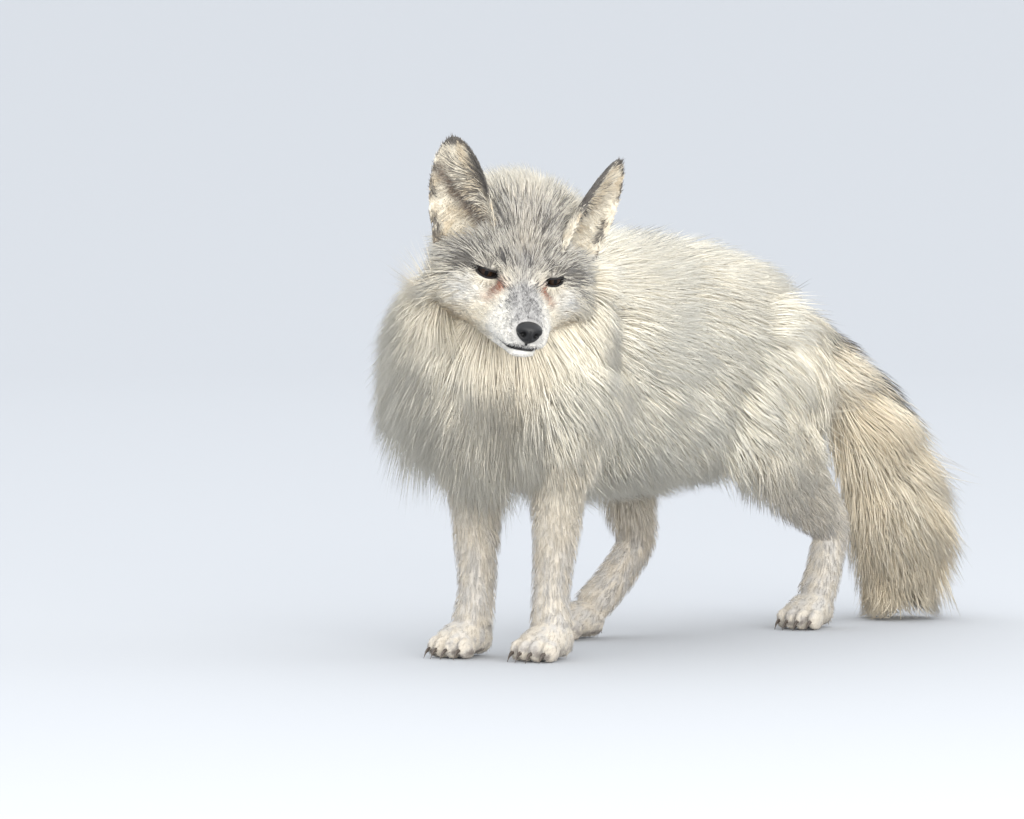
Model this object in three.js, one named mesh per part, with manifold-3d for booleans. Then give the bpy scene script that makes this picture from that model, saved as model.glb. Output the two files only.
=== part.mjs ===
// A life-size standing fox in its long winter coat, in millimetres. It faces -Y with +Z up, its own left
// side is +X, and the floor is z = 0. Every solid runs out to the tips of the coat.
import * as THREE from "three";
import { mergeVertices } from "three/addons/utils/BufferGeometryUtils.js";
import Module from "manifold-3d";

const wasm = await Module();
wasm.setup();

// Driving sizes
const gap = 0.35; // clear space between neighbouring pieces
const backHeight = 390; // floor to the top of the coat over the ribs
const bellyHeight = 140; // floor to the lowest belly hair
const trunkHalf = 108; // half the width of the trunk at the ribs
const legSpread = 41; // each front paw's distance from the middle plane
const tailLength = 400; // scale of the tail's drop and reach
const headTurn = { yaw: 45, pitch: 17.5, roll: 8 }; // degrees: to its left, nose down, right side up
const eyesMiddle = [84, -105, 349]; // the point midway between the eyes
const eyeSpread = 29; // each eye's distance from the middle of the face
const eyeRadius = 9.5;
const eyeDepth = 5; // each eyeball's centre behind the front of the lids
const earHalf = 32; // half the width of the ear where it is widest
const earWall = 4.5;
const earTurn = { left: 48, right: 30 }; // degrees that each ear's hollow faces away from straight ahead
const floorDepth = 60; // thickness of the block that trims the soles flat

const { sin, cos, sign, abs, pow, min, max, PI } = Math;

// ---- Turning meshes into solids and back ----

function solidOf(geometry) {
  const bare = geometry.clone();
  bare.deleteAttribute("normal");
  bare.deleteAttribute("uv");
  const merged = mergeVertices(bare, 1e-4);
  return new wasm.Manifold(
    new wasm.Mesh({
      numProp: 3,
      vertProperties: new Float32Array(merged.attributes.position.array),
      triVerts: new Uint32Array(merged.index.array),
    }),
  );
}

function geometryOf(solid) {
  const made = solid.getMesh();
  const step = made.numProp;
  const places = new Float32Array(made.numVert * 3);
  for (let i = 0; i < made.numVert; i++) {
    places.set(made.vertProperties.subarray(i * step, i * step + 3), i * 3);
  }
  const geometry = new THREE.BufferGeometry();
  geometry.setAttribute("position", new THREE.BufferAttribute(places, 3));
  geometry.setIndex(new THREE.BufferAttribute(made.triVerts, 1));
  geometry.computeVertexNormals();
  return geometry;
}

// A closed surface from rings of points, all of one length, capped by a point at each end.
function skinOver(rings, startPoint, endPoint, place = new THREE.Matrix4()) {
  const around = rings[0].length;
  const points = [startPoint, ...rings.flat(), endPoint];
  const last = points.length - 1;
  const faces = [];
  for (let k = 0; k < around; k++) {
    const next = (k + 1) % around;
    const tail = 1 + (rings.length - 1) * around;
    faces.push(0, 1 + next, 1 + k, last, tail + k, tail + next);
    for (let i = 0; i + 1 < rings.length; i++) {
      const a = 1 + i * around;
      const b = a + around;
      faces.push(a + k, a + next, b + next, a + k, b + next, b + k);
    }
  }
  const geometry = new THREE.BufferGeometry();
  geometry.setAttribute(
    "position",
    new THREE.Float32BufferAttribute(points.flatMap((p) => p.toArray()), 3),
  );
  geometry.setIndex(faces);
  geometry.applyMatrix4(place);
  const solid = solidOf(geometry);
  if (solid.volume() > 0) return solid;
  geometry.setIndex(faces.toReversed());
  return solidOf(geometry);
}

// ---- Lofts: an egg-shaped profile carried along a smooth path ----

// Uniform Catmull-Rom value at u between b and c
function through(a, b, c, d, u) {
  return b + 0.5 * u * (c - a + u * (2 * a - 5 * b + 4 * c - d + u * (3 * (b - c) + d - a)));
}

// The station at t stations along the list, every number in it blended smoothly
function stationAt(stations, t) {
  const n = stations.length;
  const i = min(Math.floor(t), n - 2);
  const pick = (k) => stations[max(0, min(n - 1, k))];
  const [a, b, c, d] = [pick(i - 1), pick(i), pick(i + 1), pick(i + 2)];
  const blend = (key) => through(a[key] ?? 0, b[key] ?? 0, c[key] ?? 0, d[key] ?? 0, t - i);
  const place = [0, 1, 2].map((k) => through(a.at[k], b.at[k], c.at[k], d.at[k], t - i));
  return {
    at: new THREE.Vector3(...place),
    half: blend("half"),
    up: blend("up"),
    down: blend("down"),
    pear: blend("pear"),
  };
}

// One ring: half is the reach to each side, up and down the reach along the profile's own upward axis,
// and pear is the share by which its top is narrower than its middle.
function ringAt(station, { side, upward }, scale, style) {
  const ring = [];
  for (let k = 0; k < style.around; k++) {
    const angle = (2 * PI * (k + 0.5)) / style.around;
    const c = sign(cos(angle)) * pow(abs(cos(angle)), style.squareness);
    const s = sign(sin(angle)) * pow(abs(sin(angle)), style.squareness);
    const rise = (s > 0 ? station.up : station.down) + style.grow;
    const reach = station.half * (1 - station.pear * s) + style.grow;
    ring.push(
      station.at
        .clone()
        .addScaledVector(side, c * reach * scale)
        .addScaledVector(upward, s * rise * scale),
    );
  }
  return ring;
}

const plainStyle = {
  around: 20,
  perSpan: 2, // rings from one station to the next
  capRings: 2, // rings in each rounded end
  startCap: 30, // length of the rounded end before the first station
  endCap: 30,
  squareness: 0.92, // 1 is an ellipse, less is fuller at the corners
  grow: 0,
  upward: [0, 0, 1], // which way the profile's top points
};

function loft(stations, options = {}) {
  const style = { ...plainStyle, ...options };
  const wanted = new THREE.Vector3(...style.upward);
  const spans = stations.length - 1;
  const at = (t) => stationAt(stations, max(0, min(spans, t)));
  const axes = (t) => {
    const ahead = at(t + 0.05).at.sub(at(t - 0.05).at).normalize();
    const side = new THREE.Vector3().crossVectors(wanted, ahead).normalize();
    return { ahead, side, upward: new THREE.Vector3().crossVectors(ahead, side) };
  };
  const rings = [];
  const roundEnd = (t, length, turns) => {
    for (const turn of turns) {
      const station = at(t);
      station.at.addScaledVector(axes(t).ahead, length * sin(turn));
      rings.push(ringAt(station, axes(t), cos(turn), style));
    }
  };
  const turns = Array.from({ length: style.capRings }, (_, k) => {
    return ((k + 1) / (style.capRings + 1)) * (PI / 2);
  });
  const before = -style.startCap - style.grow;
  const after = style.endCap + style.grow;
  roundEnd(0, before, turns.toReversed());
  for (let k = 0; k <= spans * style.perSpan; k++) {
    rings.push(ringAt(at(k / style.perSpan), axes(k / style.perSpan), 1, style));
  }
  roundEnd(spans, after, turns);
  const first = at(0).at.addScaledVector(axes(0).ahead, before);
  const final = at(spans).at.addScaledVector(axes(spans).ahead, after);
  return skinOver(rings, first, final, style.place);
}

// An ellipsoid of the given radii at a place
function egg(at, radii, { grow = 0, detail = [10, 7], turn = 0, place = new THREE.Matrix4() } = {}) {
  const geometry = new THREE.SphereGeometry(1, ...detail);
  geometry.scale(...radii.map((r) => r + grow));
  geometry.rotateZ(turn);
  geometry.translate(...at);
  geometry.applyMatrix4(place);
  return solidOf(geometry);
}

// ---- Cutting ----

// A plate of the gap's thickness, square to a direction
function plate({ at, across }) {
  const geometry = new THREE.BoxGeometry(400, 400, gap);
  const towards = new THREE.Vector3(...across).normalize();
  geometry.applyQuaternion(
    new THREE.Quaternion().setFromUnitVectors(new THREE.Vector3(0, 0, 1), towards),
  );
  geometry.translate(...at);
  return solidOf(geometry);
}

const bySize = (solid) => solid.decompose().toSorted((a, b) => b.volume() - a.volume());
const mainBody = (solid) => bySize(solid)[0];

// The pieces that thin plates leave of a solid, from the lowest to the highest
function slicesOf(solid, cuts) {
  const cut = cuts.reduce((left, one) => left.subtract(plate(one)), solid);
  const height = (piece) => piece.boundingBox().min[2] + piece.boundingBox().max[2];
  return bySize(cut)
    .slice(0, cuts.length + 1)
    .toSorted((a, b) => height(a) - height(b));
}

function underFloor() {
  const block = new THREE.BoxGeometry(1200, 1600, floorDepth);
  block.translate(0, 200, -floorDepth / 2);
  return solidOf(block);
}

// ---- Head, in its own frame: x to its left, -y forward, z up, origin midway between the eyes ----

const { degToRad } = THREE.MathUtils;
const headPlace = new THREE.Matrix4()
  .makeRotationFromEuler(
    new THREE.Euler(
      degToRad(headTurn.pitch),
      degToRad(headTurn.roll),
      degToRad(headTurn.yaw),
      "ZXY",
    ),
  )
  .setPosition(...eyesMiddle);

const headStations = [
  { at: [0, 86, -4], half: 62, up: 68, down: 56, pear: 0.1 },
  { at: [0, 58, -6], half: 75, up: 84, down: 64, pear: 0.16 },
  { at: [0, 30, -10], half: 77, up: 74, down: 62, pear: 0.3 },
  { at: [0, 11, -16], half: 61, up: 54, down: 50, pear: 0.34 },
  { at: [0, -3, -22], half: 47, up: 40, down: 40, pear: 0.38 },
  { at: [0, -16, -27], half: 35, up: 33, down: 32, pear: 0.36 },
  { at: [0, -32, -30], half: 28, up: 27, down: 24, pear: 0.3 },
  { at: [0, -50, -31], half: 24, up: 21, down: 20, pear: 0.25 },
  { at: [0, -66, -32], half: 20, up: 17, down: 16, pear: 0.2 },
];
const headSolid = (grow) =>
  loft(headStations, {
    around: 20,
    perSpan: 1,
    startCap: 26,
    endCap: 11,
    squareness: 0.95,
    grow,
    place: headPlace,
  });

const jawStations = [
  { at: [0, 6, -50], half: 38, up: 8, down: 14 },
  { at: [0, -14, -50], half: 28, up: 6, down: 12 },
  { at: [0, -36, -50], half: 20, up: 5, down: 9 },
  { at: [0, -55, -50], half: 14, up: 4.5, down: 7 },
];
const jawSolid = (grow) =>
  loft(jawStations, { around: 14, perSpan: 1, startCap: 12, endCap: 11, grow, place: headPlace });

function noseSolid(grow) {
  const options = { grow, place: headPlace };
  const pad = egg([0, -75, -26], [11, 9, 9.5], { ...options, detail: [12, 7] });
  return pad.add(egg([0, -73.5, -37], [3.4, 5, 6], { ...options, detail: [8, 5] }));
}

const eyeAt = (left) => [left * eyeSpread, eyeDepth, 0];
const eyeSolid = (left, grow) =>
  egg(eyeAt(left), [eyeRadius, eyeRadius, eyeRadius], { grow, detail: [10, 7], place: headPlace });

// The almond between the lids, opened outward from the eyeball
const lidOpening = (left) =>
  egg([left * (eyeSpread + 4), eyeDepth - 16, 0], [10, 20, 6.5], {
    turn: left * 0.6,
    detail: [8, 5],
    place: headPlace,
  });

// An ear is a cupped sheet carried from its root to its tip: the back bulges and the front is hollow.
function earSolid(left, outward) {
  const rows = 7;
  const across = 7;
  const root = new THREE.Vector3(left * 46, 28, 18);
  const tip = new THREE.Vector3(left * 76, 36, 109);
  const lean = tip.clone().sub(root).normalize();
  const open = new THREE.Vector3(left * sin(outward), -cos(outward), 0.08); // where the hollow faces
  open.addScaledVector(lean, -open.dot(lean)).normalize();
  const wide = new THREE.Vector3().crossVectors(lean, open);
  const rings = [];
  for (let row = 0; row < rows; row++) {
    const v = row / rows;
    const half = earHalf * pow(1 - pow(v, 3), 0.62);
    const cup = half * (0.8 - 0.4 * v);
    const middle = root.clone().lerp(tip, v);
    const ring = [];
    for (const wall of [0, 1]) {
      const inset = wall * min(earWall, cup * 0.6);
      for (let k = 0; k < across; k++) {
        const along = PI * (k / (across - 1));
        const turn = wall ? PI - (0.12 + 0.924 * along) : along;
        ring.push(
          middle
            .clone()
            .addScaledVector(wide, cos(turn) * (half - inset * 0.3))
            .addScaledVector(open, cup * 0.5 - sin(turn) * (cup - inset)),
        );
      }
    }
    rings.push(ring);
  }
  const foot = rings[0].reduce((sum, p) => sum.add(p), new THREE.Vector3());
  return skinOver(rings, foot.divideScalar(rings[0].length), tip, headPlace);
}

// ---- Neck, trunk and tail ----

const neckStations = [
  { at: [44, -60, 346], half: 96, up: 56, down: 76 },
  { at: [22, -38, 314], half: 110, up: 76, down: 94 },
  { at: [0, -16, 280], half: 118, up: 92, down: 106 },
];
const neckSolid = (grow) => loft(neckStations, { around: 20, startCap: 34, endCap: 70, grow });

// Trunk sections from breast to rump: y, top, bottom and half width
const trunkSections = [
  [-56, 0.82 * backHeight, 1.36 * bellyHeight, 0.72 * trunkHalf],
  [-10, 0.95 * backHeight, 1.14 * bellyHeight, 0.93 * trunkHalf],
  [60, 0.995 * backHeight, 1.05 * bellyHeight, 1.0 * trunkHalf],
  [150, backHeight, bellyHeight, trunkHalf],
  [240, 0.992 * backHeight, bellyHeight, 0.97 * trunkHalf],
  [320, 0.965 * backHeight, 1.04 * bellyHeight, 0.9 * trunkHalf],
  [384, 0.915 * backHeight, 1.2 * bellyHeight, 0.78 * trunkHalf],
  [430, 0.845 * backHeight, 1.5 * bellyHeight, 0.56 * trunkHalf],
];
const trunkStations = trunkSections.map(([y, top, bottom, half]) => {
  const middle = (top + bottom) / 2;
  return { at: [0, y, middle], half, up: top - middle, down: middle - bottom };
});
const trunkSolid = () => loft(trunkStations, { around: 20, perSpan: 1, startCap: 40, endCap: 30 });

// Tail from its root to the brush on the floor, as shares of its length: across, back, height and radius
const tailSections = [
  [0, 1.08, 0.725, 0.075],
  [0.01, 1.17, 0.69, 0.1],
  [0.045, 1.27, 0.615, 0.118],
  [0.095, 1.35, 0.5, 0.13],
  [0.13, 1.41, 0.36, 0.14],
  [0.15, 1.45, 0.22, 0.143],
  [0.155, 1.46, 0.115, 0.125],
];
const tailStations = tailSections.map(([x, y, z, r]) => {
  const radius = r * tailLength;
  const at = [x * tailLength, y * tailLength, z * tailLength];
  return { at, half: radius, up: radius, down: radius };
});
const tailSolid = (grow) =>
  loft(tailStations, { around: 16, perSpan: 1, startCap: 26, endCap: 50, upward: [0, 1, 0.3], grow });

// ---- Legs: side is +1 for its left and -1 for its right; half is across, up and down are fore and aft ----

const foreStations = (side, forward) =>
  [
    [58, -10, 292, 28, 46],
    [60, -2, 246, 35, 54],
    [51, 10, 200, 31, 42],
    [43, 14, 160, 25, 29],
    [40, 14, 112, 21, 23],
    [37, 11, 64, 17.5, 19],
    [39, 8, 34, 20, 20],
  ].map(([x, y, z, half, depth]) => ({
    at: [side * x, y - forward, z],
    half,
    up: depth,
    down: depth,
  }));

const hindLeftStations = [
  { at: [52, 378, 304], half: 38, up: 60, down: 58 },
  { at: [64, 366, 254], half: 42, up: 72, down: 72 },
  { at: [66, 352, 206], half: 36, up: 66, down: 62 },
  { at: [61, 378, 164], half: 27, up: 46, down: 42 },
  { at: [56, 420, 130], half: 22, up: 33, down: 30 },
  { at: [52, 464, 98], half: 18.5, up: 23, down: 22 },
  { at: [51, 458, 62], half: 18, up: 20, down: 20 },
  { at: [50, 446, 34], half: 20, up: 20, down: 19 },
];
const hindRightStations = [
  { at: [-52, 370, 304], half: 38, up: 56, down: 62 },
  { at: [-62, 336, 254], half: 42, up: 66, down: 70 },
  { at: [-62, 292, 206], half: 35, up: 54, down: 56 },
  { at: [-54, 268, 164], half: 27, up: 34, down: 36 },
  { at: [-48, 268, 126], half: 22, up: 25, down: 24 },
  { at: [-46, 274, 92], half: 18.5, up: 21, down: 21 },
  { at: [-53, 252, 58], half: 18.5, up: 20, down: 20 },
  { at: [-62, 226, 32], half: 20, up: 19, down: 19 },
];
const legSolid = (stations, grow) =>
  loft(stations, {
    around: 14,
    perSpan: 1,
    capRings: 1,
    startCap: 24,
    endCap: 14,
    upward: [0, -1, 0],
    grow,
  });

// A paw: a low pad with four toes fanned ahead of it, heading turned about the vertical
function pawSolid({ at: [x, y], heading }) {
  const place = new THREE.Matrix4().makeRotationZ(degToRad(heading)).setPosition(x, y, 0);
  const pad = loft(
    [
      { at: [0, 18, 18], half: 18, up: 17, down: 20 },
      { at: [0, 0, 19], half: 22, up: 20, down: 21 },
      { at: [0, -18, 15], half: 23, up: 16, down: 17 },
    ],
    { around: 10, perSpan: 1, capRings: 1, startCap: 10, endCap: 12, squareness: 0.85, place },
  );
  const toes = [-1.5, -0.5, 0.5, 1.5].map((k) =>
    egg([k * 11.5, -29 + 4.5 * abs(k), 10], [7.4, 13, 11.5], { detail: [6, 4], place }),
  );
  return toes.reduce((sum, toe) => sum.add(toe), pad);
}

const elbowCut = (x, y) => ({ at: [x, y, 196], across: [0, 0.1, 1] });
const wristCut = (x, y) => ({ at: [x, y, 46], across: [0, 0.2, 1] });
const forward = 12; // how far the right front leg stands ahead of the left
const legs = {
  front_left: {
    stations: foreStations(1, 0),
    paw: { at: [legSpread, 2], heading: 0 },
    cuts: [elbowCut(55, 10), wristCut(legSpread, 10)],
  },
  front_right: {
    stations: foreStations(-1, forward),
    paw: { at: [-legSpread, 2 - forward], heading: -4 },
    cuts: [elbowCut(-55, 10 - forward), wristCut(-legSpread, 10 - forward)],
  },
  hind_left: {
    stations: hindLeftStations,
    paw: { at: [49, 436], heading: 2 },
    cuts: [
      { at: [62, 370, 182], across: [0, -0.5, 1] },
      { at: [51, 450, 46], across: [0, 0.3, 1] },
    ],
  },
  hind_right: {
    stations: hindRightStations,
    paw: { at: [-67, 208], heading: -16 },
    cuts: [
      { at: [-60, 280, 184], across: [0, 0, 1] },
      { at: [-58, 238, 44], across: [0, 0.9, 1] },
    ],
  },
};

// ---- Putting the animal together ----

const coat = (colour) => new THREE.MeshStandardMaterial({ color: colour, roughness: 0.9 });
const cream = coat(0xe3ddcb);
const grey = coat(0xa9a6a0);
const tan = coat(0xd3c6ab);
const black = new THREE.MeshStandardMaterial({ color: 0x17171a, roughness: 0.35 });
const brown = new THREE.MeshStandardMaterial({ color: 0x2a1a10, roughness: 0.08 });

const group = new THREE.Group();
function place(name, solid, material) {
  const mesh = new THREE.Mesh(geometryOf(solid), material);
  mesh.name = name;
  group.add(mesh);
}

// A solid less the room that each of its neighbours needs
const clearOf = (solid, ...rooms) => {
  return mainBody(rooms.reduce((left, room) => left.subtract(room), solid));
};

const headRoom = headSolid(gap);
const jawRoom = jawSolid(gap);
const noseRoom = noseSolid(gap);
const neckRoom = neckSolid(4 * gap);
const tailRoom = tailSolid(2 * gap);
const floorRoom = underFloor();

const sockets = [];
for (const [name, left] of [["left", 1], ["right", -1]]) {
  sockets.push(eyeSolid(left, gap), lidOpening(left));
  place("eye_" + name, eyeSolid(left, 0), brown);
  place("ear_" + name, clearOf(earSolid(left, degToRad(earTurn[name])), headRoom), grey);
}
place("head", clearOf(headSolid(0), jawRoom, noseRoom, ...sockets), grey);
place("lower_jaw", clearOf(jawSolid(0), noseRoom), cream);
place("nose", noseSolid(0), black);

const legRooms = [];
for (const [name, leg] of Object.entries(legs)) {
  const paw = pawSolid(leg.paw);
  const whole = legSolid(leg.stations, 0).add(paw);
  const [foot, lower, upper] = slicesOf(whole.subtract(floorRoom), leg.cuts);
  place("leg_" + name + "_upper", clearOf(upper, headRoom, jawRoom), cream);
  place("leg_" + name + "_lower", lower, cream);
  place("paw_" + name, foot, cream);
  legRooms.push(legSolid(leg.stations, 3 * gap).add(paw));
}
place("neck", clearOf(neckSolid(0), headRoom, jawRoom, ...legRooms), cream);
place("trunk", clearOf(trunkSolid(), neckRoom, tailRoom, headRoom, ...legRooms), cream);

const tail = clearOf(tailSolid(0), floorRoom, ...legRooms);
const [tailTip, tailMiddle, tailBase] = slicesOf(tail, [
  { at: [34, 534, 216], across: [-0.25, -0.5, 1] },
  { at: [58, 572, 104], across: [-0.1, -0.15, 1] },
]);
place("tail_base", tailBase, cream);
place("tail_middle", tailMiddle, tan);
place("tail_tip", tailTip, tan);

// The origin is on the floor, under the middle of the animal's own box.
const middle = new THREE.Box3().setFromObject(group).getCenter(new THREE.Vector3());
for (const mesh of group.children) mesh.position.set(-middle.x, -middle.y, 0);

export default group;
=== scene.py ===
import bpy
import numpy as np
from mathutils import Matrix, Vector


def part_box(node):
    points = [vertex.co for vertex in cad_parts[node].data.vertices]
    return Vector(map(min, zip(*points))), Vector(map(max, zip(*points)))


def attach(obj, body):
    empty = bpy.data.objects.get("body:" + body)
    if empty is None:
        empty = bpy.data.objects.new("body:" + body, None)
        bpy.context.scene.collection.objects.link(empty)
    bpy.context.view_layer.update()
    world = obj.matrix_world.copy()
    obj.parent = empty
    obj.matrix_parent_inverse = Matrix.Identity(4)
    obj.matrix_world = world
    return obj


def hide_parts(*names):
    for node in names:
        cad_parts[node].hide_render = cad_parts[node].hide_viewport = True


# A standing fox in its winter coat. Shapes are worked out in millimetres in the animal's own frame (it faces
# -Y, +X is its left, z = 0 is the floor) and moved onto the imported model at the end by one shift.

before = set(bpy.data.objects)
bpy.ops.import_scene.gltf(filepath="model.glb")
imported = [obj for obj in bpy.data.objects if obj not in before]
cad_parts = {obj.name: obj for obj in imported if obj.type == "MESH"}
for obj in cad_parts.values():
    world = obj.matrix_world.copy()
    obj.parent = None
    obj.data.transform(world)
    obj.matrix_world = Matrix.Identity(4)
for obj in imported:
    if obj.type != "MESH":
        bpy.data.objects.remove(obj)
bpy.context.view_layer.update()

headPose = {
    "eyesMiddle": (84, -105, 349),  # midway between the eyes, mm
    "yaw": 45,  # degrees to its left
    "pitch": 17.5,  # nose down
    "roll": 8,  # right side up
}
eyeSet = {
    "spread": 29,  # each eye's distance from the middle of the face
    "depth": 5,  # eyeball's centre behind the front of the face
    "radius": 9.3,
    "bulge": 0.045,  # how much further out the front of the eyeball stands
    "gaze": 14,  # degrees that each eye looks outward
    "gazeDown": 4,
    "halfWidth": 13.2,  # half the opening between the lids, along the eyeball
    "halfHeight": 3.5,
    "tilt": 9,  # degrees that the outer corner is higher
    "lid": 2.1,  # thickness of the lids
    "iris": 5.6,  # radius of the iris
    "pupil": (1.9, 2.9),  # half width and half height of the pupil
}


def turnAbout(axis, degrees):
    # rotation by an angle about x, y or z, right-handed
    c, s = np.cos(np.radians(degrees)), np.sin(np.radians(degrees))
    i, j = {"x": (1, 2), "y": (2, 0), "z": (0, 1)}[axis]
    m = np.eye(3)
    m[i, i], m[i, j], m[j, i], m[j, j] = c, -s, s, c
    return m


headTurn = turnAbout("z", headPose["yaw"]) @ turnAbout("x", headPose["pitch"])
headTurn = headTurn @ turnAbout("y", headPose["roll"])
headAt = np.array(headPose["eyesMiddle"], float)


def fromHead(p):
    # the head's own frame (it faces -Y, 0 is between the eyes) turned and moved to its place
    return np.asarray(p, float) @ headTurn.T + headAt


def intoHead(p):
    # places turned back into the head's own frame
    return (np.asarray(p, float) - headAt) @ headTurn


def unit(v):
    # the same directions with length 1
    return v / np.maximum(np.linalg.norm(v, axis=-1, keepdims=True), 1e-9)


def lengthOf(v):
    return np.linalg.norm(v, axis=1)


def dot(a, b):
    return np.einsum("ij,ij->i", a, b)


def laidOn(n, v):
    # the part of v that lies in the surface with normal n
    return v - n * dot(v, n)[:, None]


def smooth(low, high, x):
    # 0 below low, 1 above high, an S-curve between
    u = np.clip((x - low) / (high - low), 0, 1)
    return u * u * (3 - 2 * u)


def bell(x, width):
    # 1 at 0, falling as exp of minus the square of x over width
    return np.exp(-((x / width) ** 2))


eyeBoxes = [np.array(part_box("eye_" + side)) for side in ("left", "right")]
eyesNow = np.mean([box.mean(0) for box in eyeBoxes], 0)
shift = eyesNow - fromHead((0, eyeSet["depth"], 0)) / 1000


def onModel(p):
    # millimetres in the animal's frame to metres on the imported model
    return np.asarray(p, float) / 1000 + shift


def smoothShade(mesh):
    mesh.polygons.foreach_set("use_smooth", np.ones(len(mesh.polygons), bool))


def meshFrom(name, points, faces):
    # a smooth-shaded object from points in millimetres and an array of triangles
    mesh = bpy.data.meshes.new(name)
    points, faces = np.asarray(points, np.float32), np.asarray(faces, np.int32)
    mesh.vertices.add(len(points))
    mesh.vertices.foreach_set("co", onModel(points).astype(np.float32).ravel())
    mesh.loops.add(faces.size)
    mesh.loops.foreach_set("vertex_index", faces.ravel())
    mesh.polygons.add(len(faces))
    mesh.polygons.foreach_set("loop_start", np.arange(len(faces), dtype=np.int32) * 3)
    mesh.polygons.foreach_set("loop_total", np.full(len(faces), 3, np.int32))
    mesh.update(calc_edges=True)
    smoothShade(mesh)
    return added(name, mesh)


def added(name, data):
    # a new object in the scene
    thing = bpy.data.objects.new(name, data)
    bpy.context.collection.objects.link(thing)
    return thing


def outward(points, faces):
    # the same faces, turned over if the volume that they close comes out negative
    corner = points[faces]
    volume = np.einsum("ij,ij->", corner[:, 0], np.cross(corner[:, 1], corner[:, 2]))
    return points, faces if volume > 0 else faces[:, ::-1]


def closedGrid(points):
    # triangles over a grid that goes round on its second side, with its first and last rows closed to a point
    rows, around = points.shape[:2]
    flat = np.concatenate([points.reshape(-1, 3), [points[0].mean(0), points[-1].mean(0)]])
    k = np.arange(around)
    a = (np.arange(rows - 1)[:, None] * around + k).ravel()
    b = (np.arange(rows - 1)[:, None] * around + (k + 1) % around).ravel()
    last = (rows - 1) * around
    top = np.stack([np.full(around, rows * around), (k + 1) % around, k], 1)
    end = np.stack([np.full(around, rows * around + 1), last + k, last + (k + 1) % around], 1)
    faces = [np.stack([a, b, b + around], 1), np.stack([a, b + around, a + around], 1), top, end]
    return outward(flat, np.concatenate(faces))


def joined(parts):
    # several lists of points and faces made one
    points, faces, count = [], [], 0
    for p, f in parts:
        points.append(p)
        faces.append(f + count)
        count += len(p)
    return np.concatenate(points), np.concatenate(faces)


def between(rows, t):
    # Catmull-Rom blend of a list of rows, read at the row numbers in t
    rows = np.asarray(rows, float)
    i = np.clip(np.floor(t).astype(int), 0, len(rows) - 2)
    u = (t - i)[:, None]
    a, b, c, d = (rows[np.clip(i + k, 0, len(rows) - 1)] for k in (-1, 0, 1, 2))
    return b + 0.5 * u * (c - a + u * (2 * a - 5 * b + 4 * c - d + u * (3 * (b - c) + d - a)))


def pathOf(piece, t):
    # the path's points at t, with the directions ahead, sideways and upright, and the ring's sizes there
    n = len(piece["stations"]) - 1
    t = np.clip(t, 0, n)
    row = between(piece["stations"], t)
    step = 0.05
    ahead = between(piece["stations"], np.clip(t + step, 0, n))[:, :3]
    ahead = unit(ahead - between(piece["stations"], np.clip(t - step, 0, n))[:, :3])
    side = unit(np.cross(np.array(piece.get("upright", (0, 0, 1)), float), ahead))
    return row, ahead, side, np.cross(ahead, side)


def carried(piece, rows=60, around=64, nearer=0):
    # Ring t reaches half sideways and up or down along its upright, less the coat's depth, round an oval
    # whose corners are slightly filled; its top is narrower by the share pear. Past both ends the ring
    # shrinks as cos a while it moves on by sin a, so the body closes in a dome. The flesh may lie nearer its
    # coat's outline than the full depth, down to half of it.
    n = len(piece["stations"]) - 1
    dome = np.linspace(0, np.pi / 2 - 0.12, 9)[1:]
    t = np.concatenate([dome * 0, np.linspace(0, n, rows), dome * 0 + n])
    row, ahead, side, up = pathOf(piece, t)
    coat = np.maximum(row[:, 6] - nearer, row[:, 6] / 2)
    swell = np.concatenate([np.cos(dome[::-1]), np.ones(rows), np.cos(dome)])[:, None]
    first, last = (max(end - coat[k], 3) for end, k in zip(piece["ends"], (0, -1)))
    move = np.concatenate([-first * np.sin(dome[::-1]), np.zeros(rows), last * np.sin(dome)])
    middle = row[:, :3] + ahead * move[:, None]
    angle = np.linspace(0, 2 * np.pi, around, endpoint=False)
    power = piece.get("square", 0.92)
    c = np.sign(np.cos(angle)) * np.abs(np.cos(angle)) ** power
    s = np.sign(np.sin(angle)) * np.abs(np.sin(angle)) ** power
    pear = row[:, 7:8] if row.shape[1] > 7 else 0
    wide = (row[:, 3:4] * (1 - pear * s) - coat[:, None]) * c * swell
    tall = np.where(s > 0, row[:, 4:5], row[:, 5:6]) - coat[:, None] * piece.get("upShare", 0.9)
    tall = tall * s * swell
    return middle[:, None] + wide[..., None] * side[:, None] + tall[..., None] * up[:, None]


# Each station: x, y, z, half width, reach up, reach down (all to the tips of the coat), the coat's depth, and
# on the head the share by which the top is narrower.
trunk = {
    "stations": [
        (0, -56, 255, 78, 65, 65, 44),
        (0, -10, 265, 100, 105, 105, 42),
        (0, 60, 268, 108, 120, 121, 38),
        (0, 150, 265, 108, 125, 125, 36),
        (0, 240, 264, 105, 123, 124, 36),
        (0, 320, 261, 97, 115, 115, 36),
        (0, 384, 262, 84, 95, 94, 34),
        (0, 430, 270, 60, 60, 60, 30),
    ],
    "ends": (40, 30),
}
neck = {
    "stations": [
        (44, -60, 346, 96, 56, 76, 38),
        (22, -38, 314, 110, 76, 94, 44),
        (0, -16, 280, 118, 92, 106, 48),
    ],
    "ends": (34, 70),
}
tail = {
    "stations": [
        (0, 432, 290, 30, 30, 30, 16),
        (4, 468, 276, 40, 40, 40, 26),
        (18, 508, 246, 47, 47, 47, 34),
        (38, 540, 200, 52, 52, 52, 38),
        (52, 564, 144, 56, 56, 56, 41),
        (60, 580, 88, 57, 57, 57, 42),
        (62, 584, 46, 50, 50, 50, 38),
    ],
    "upright": (0, 1, 0.3),
    "ends": (26, 50),
}


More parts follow.
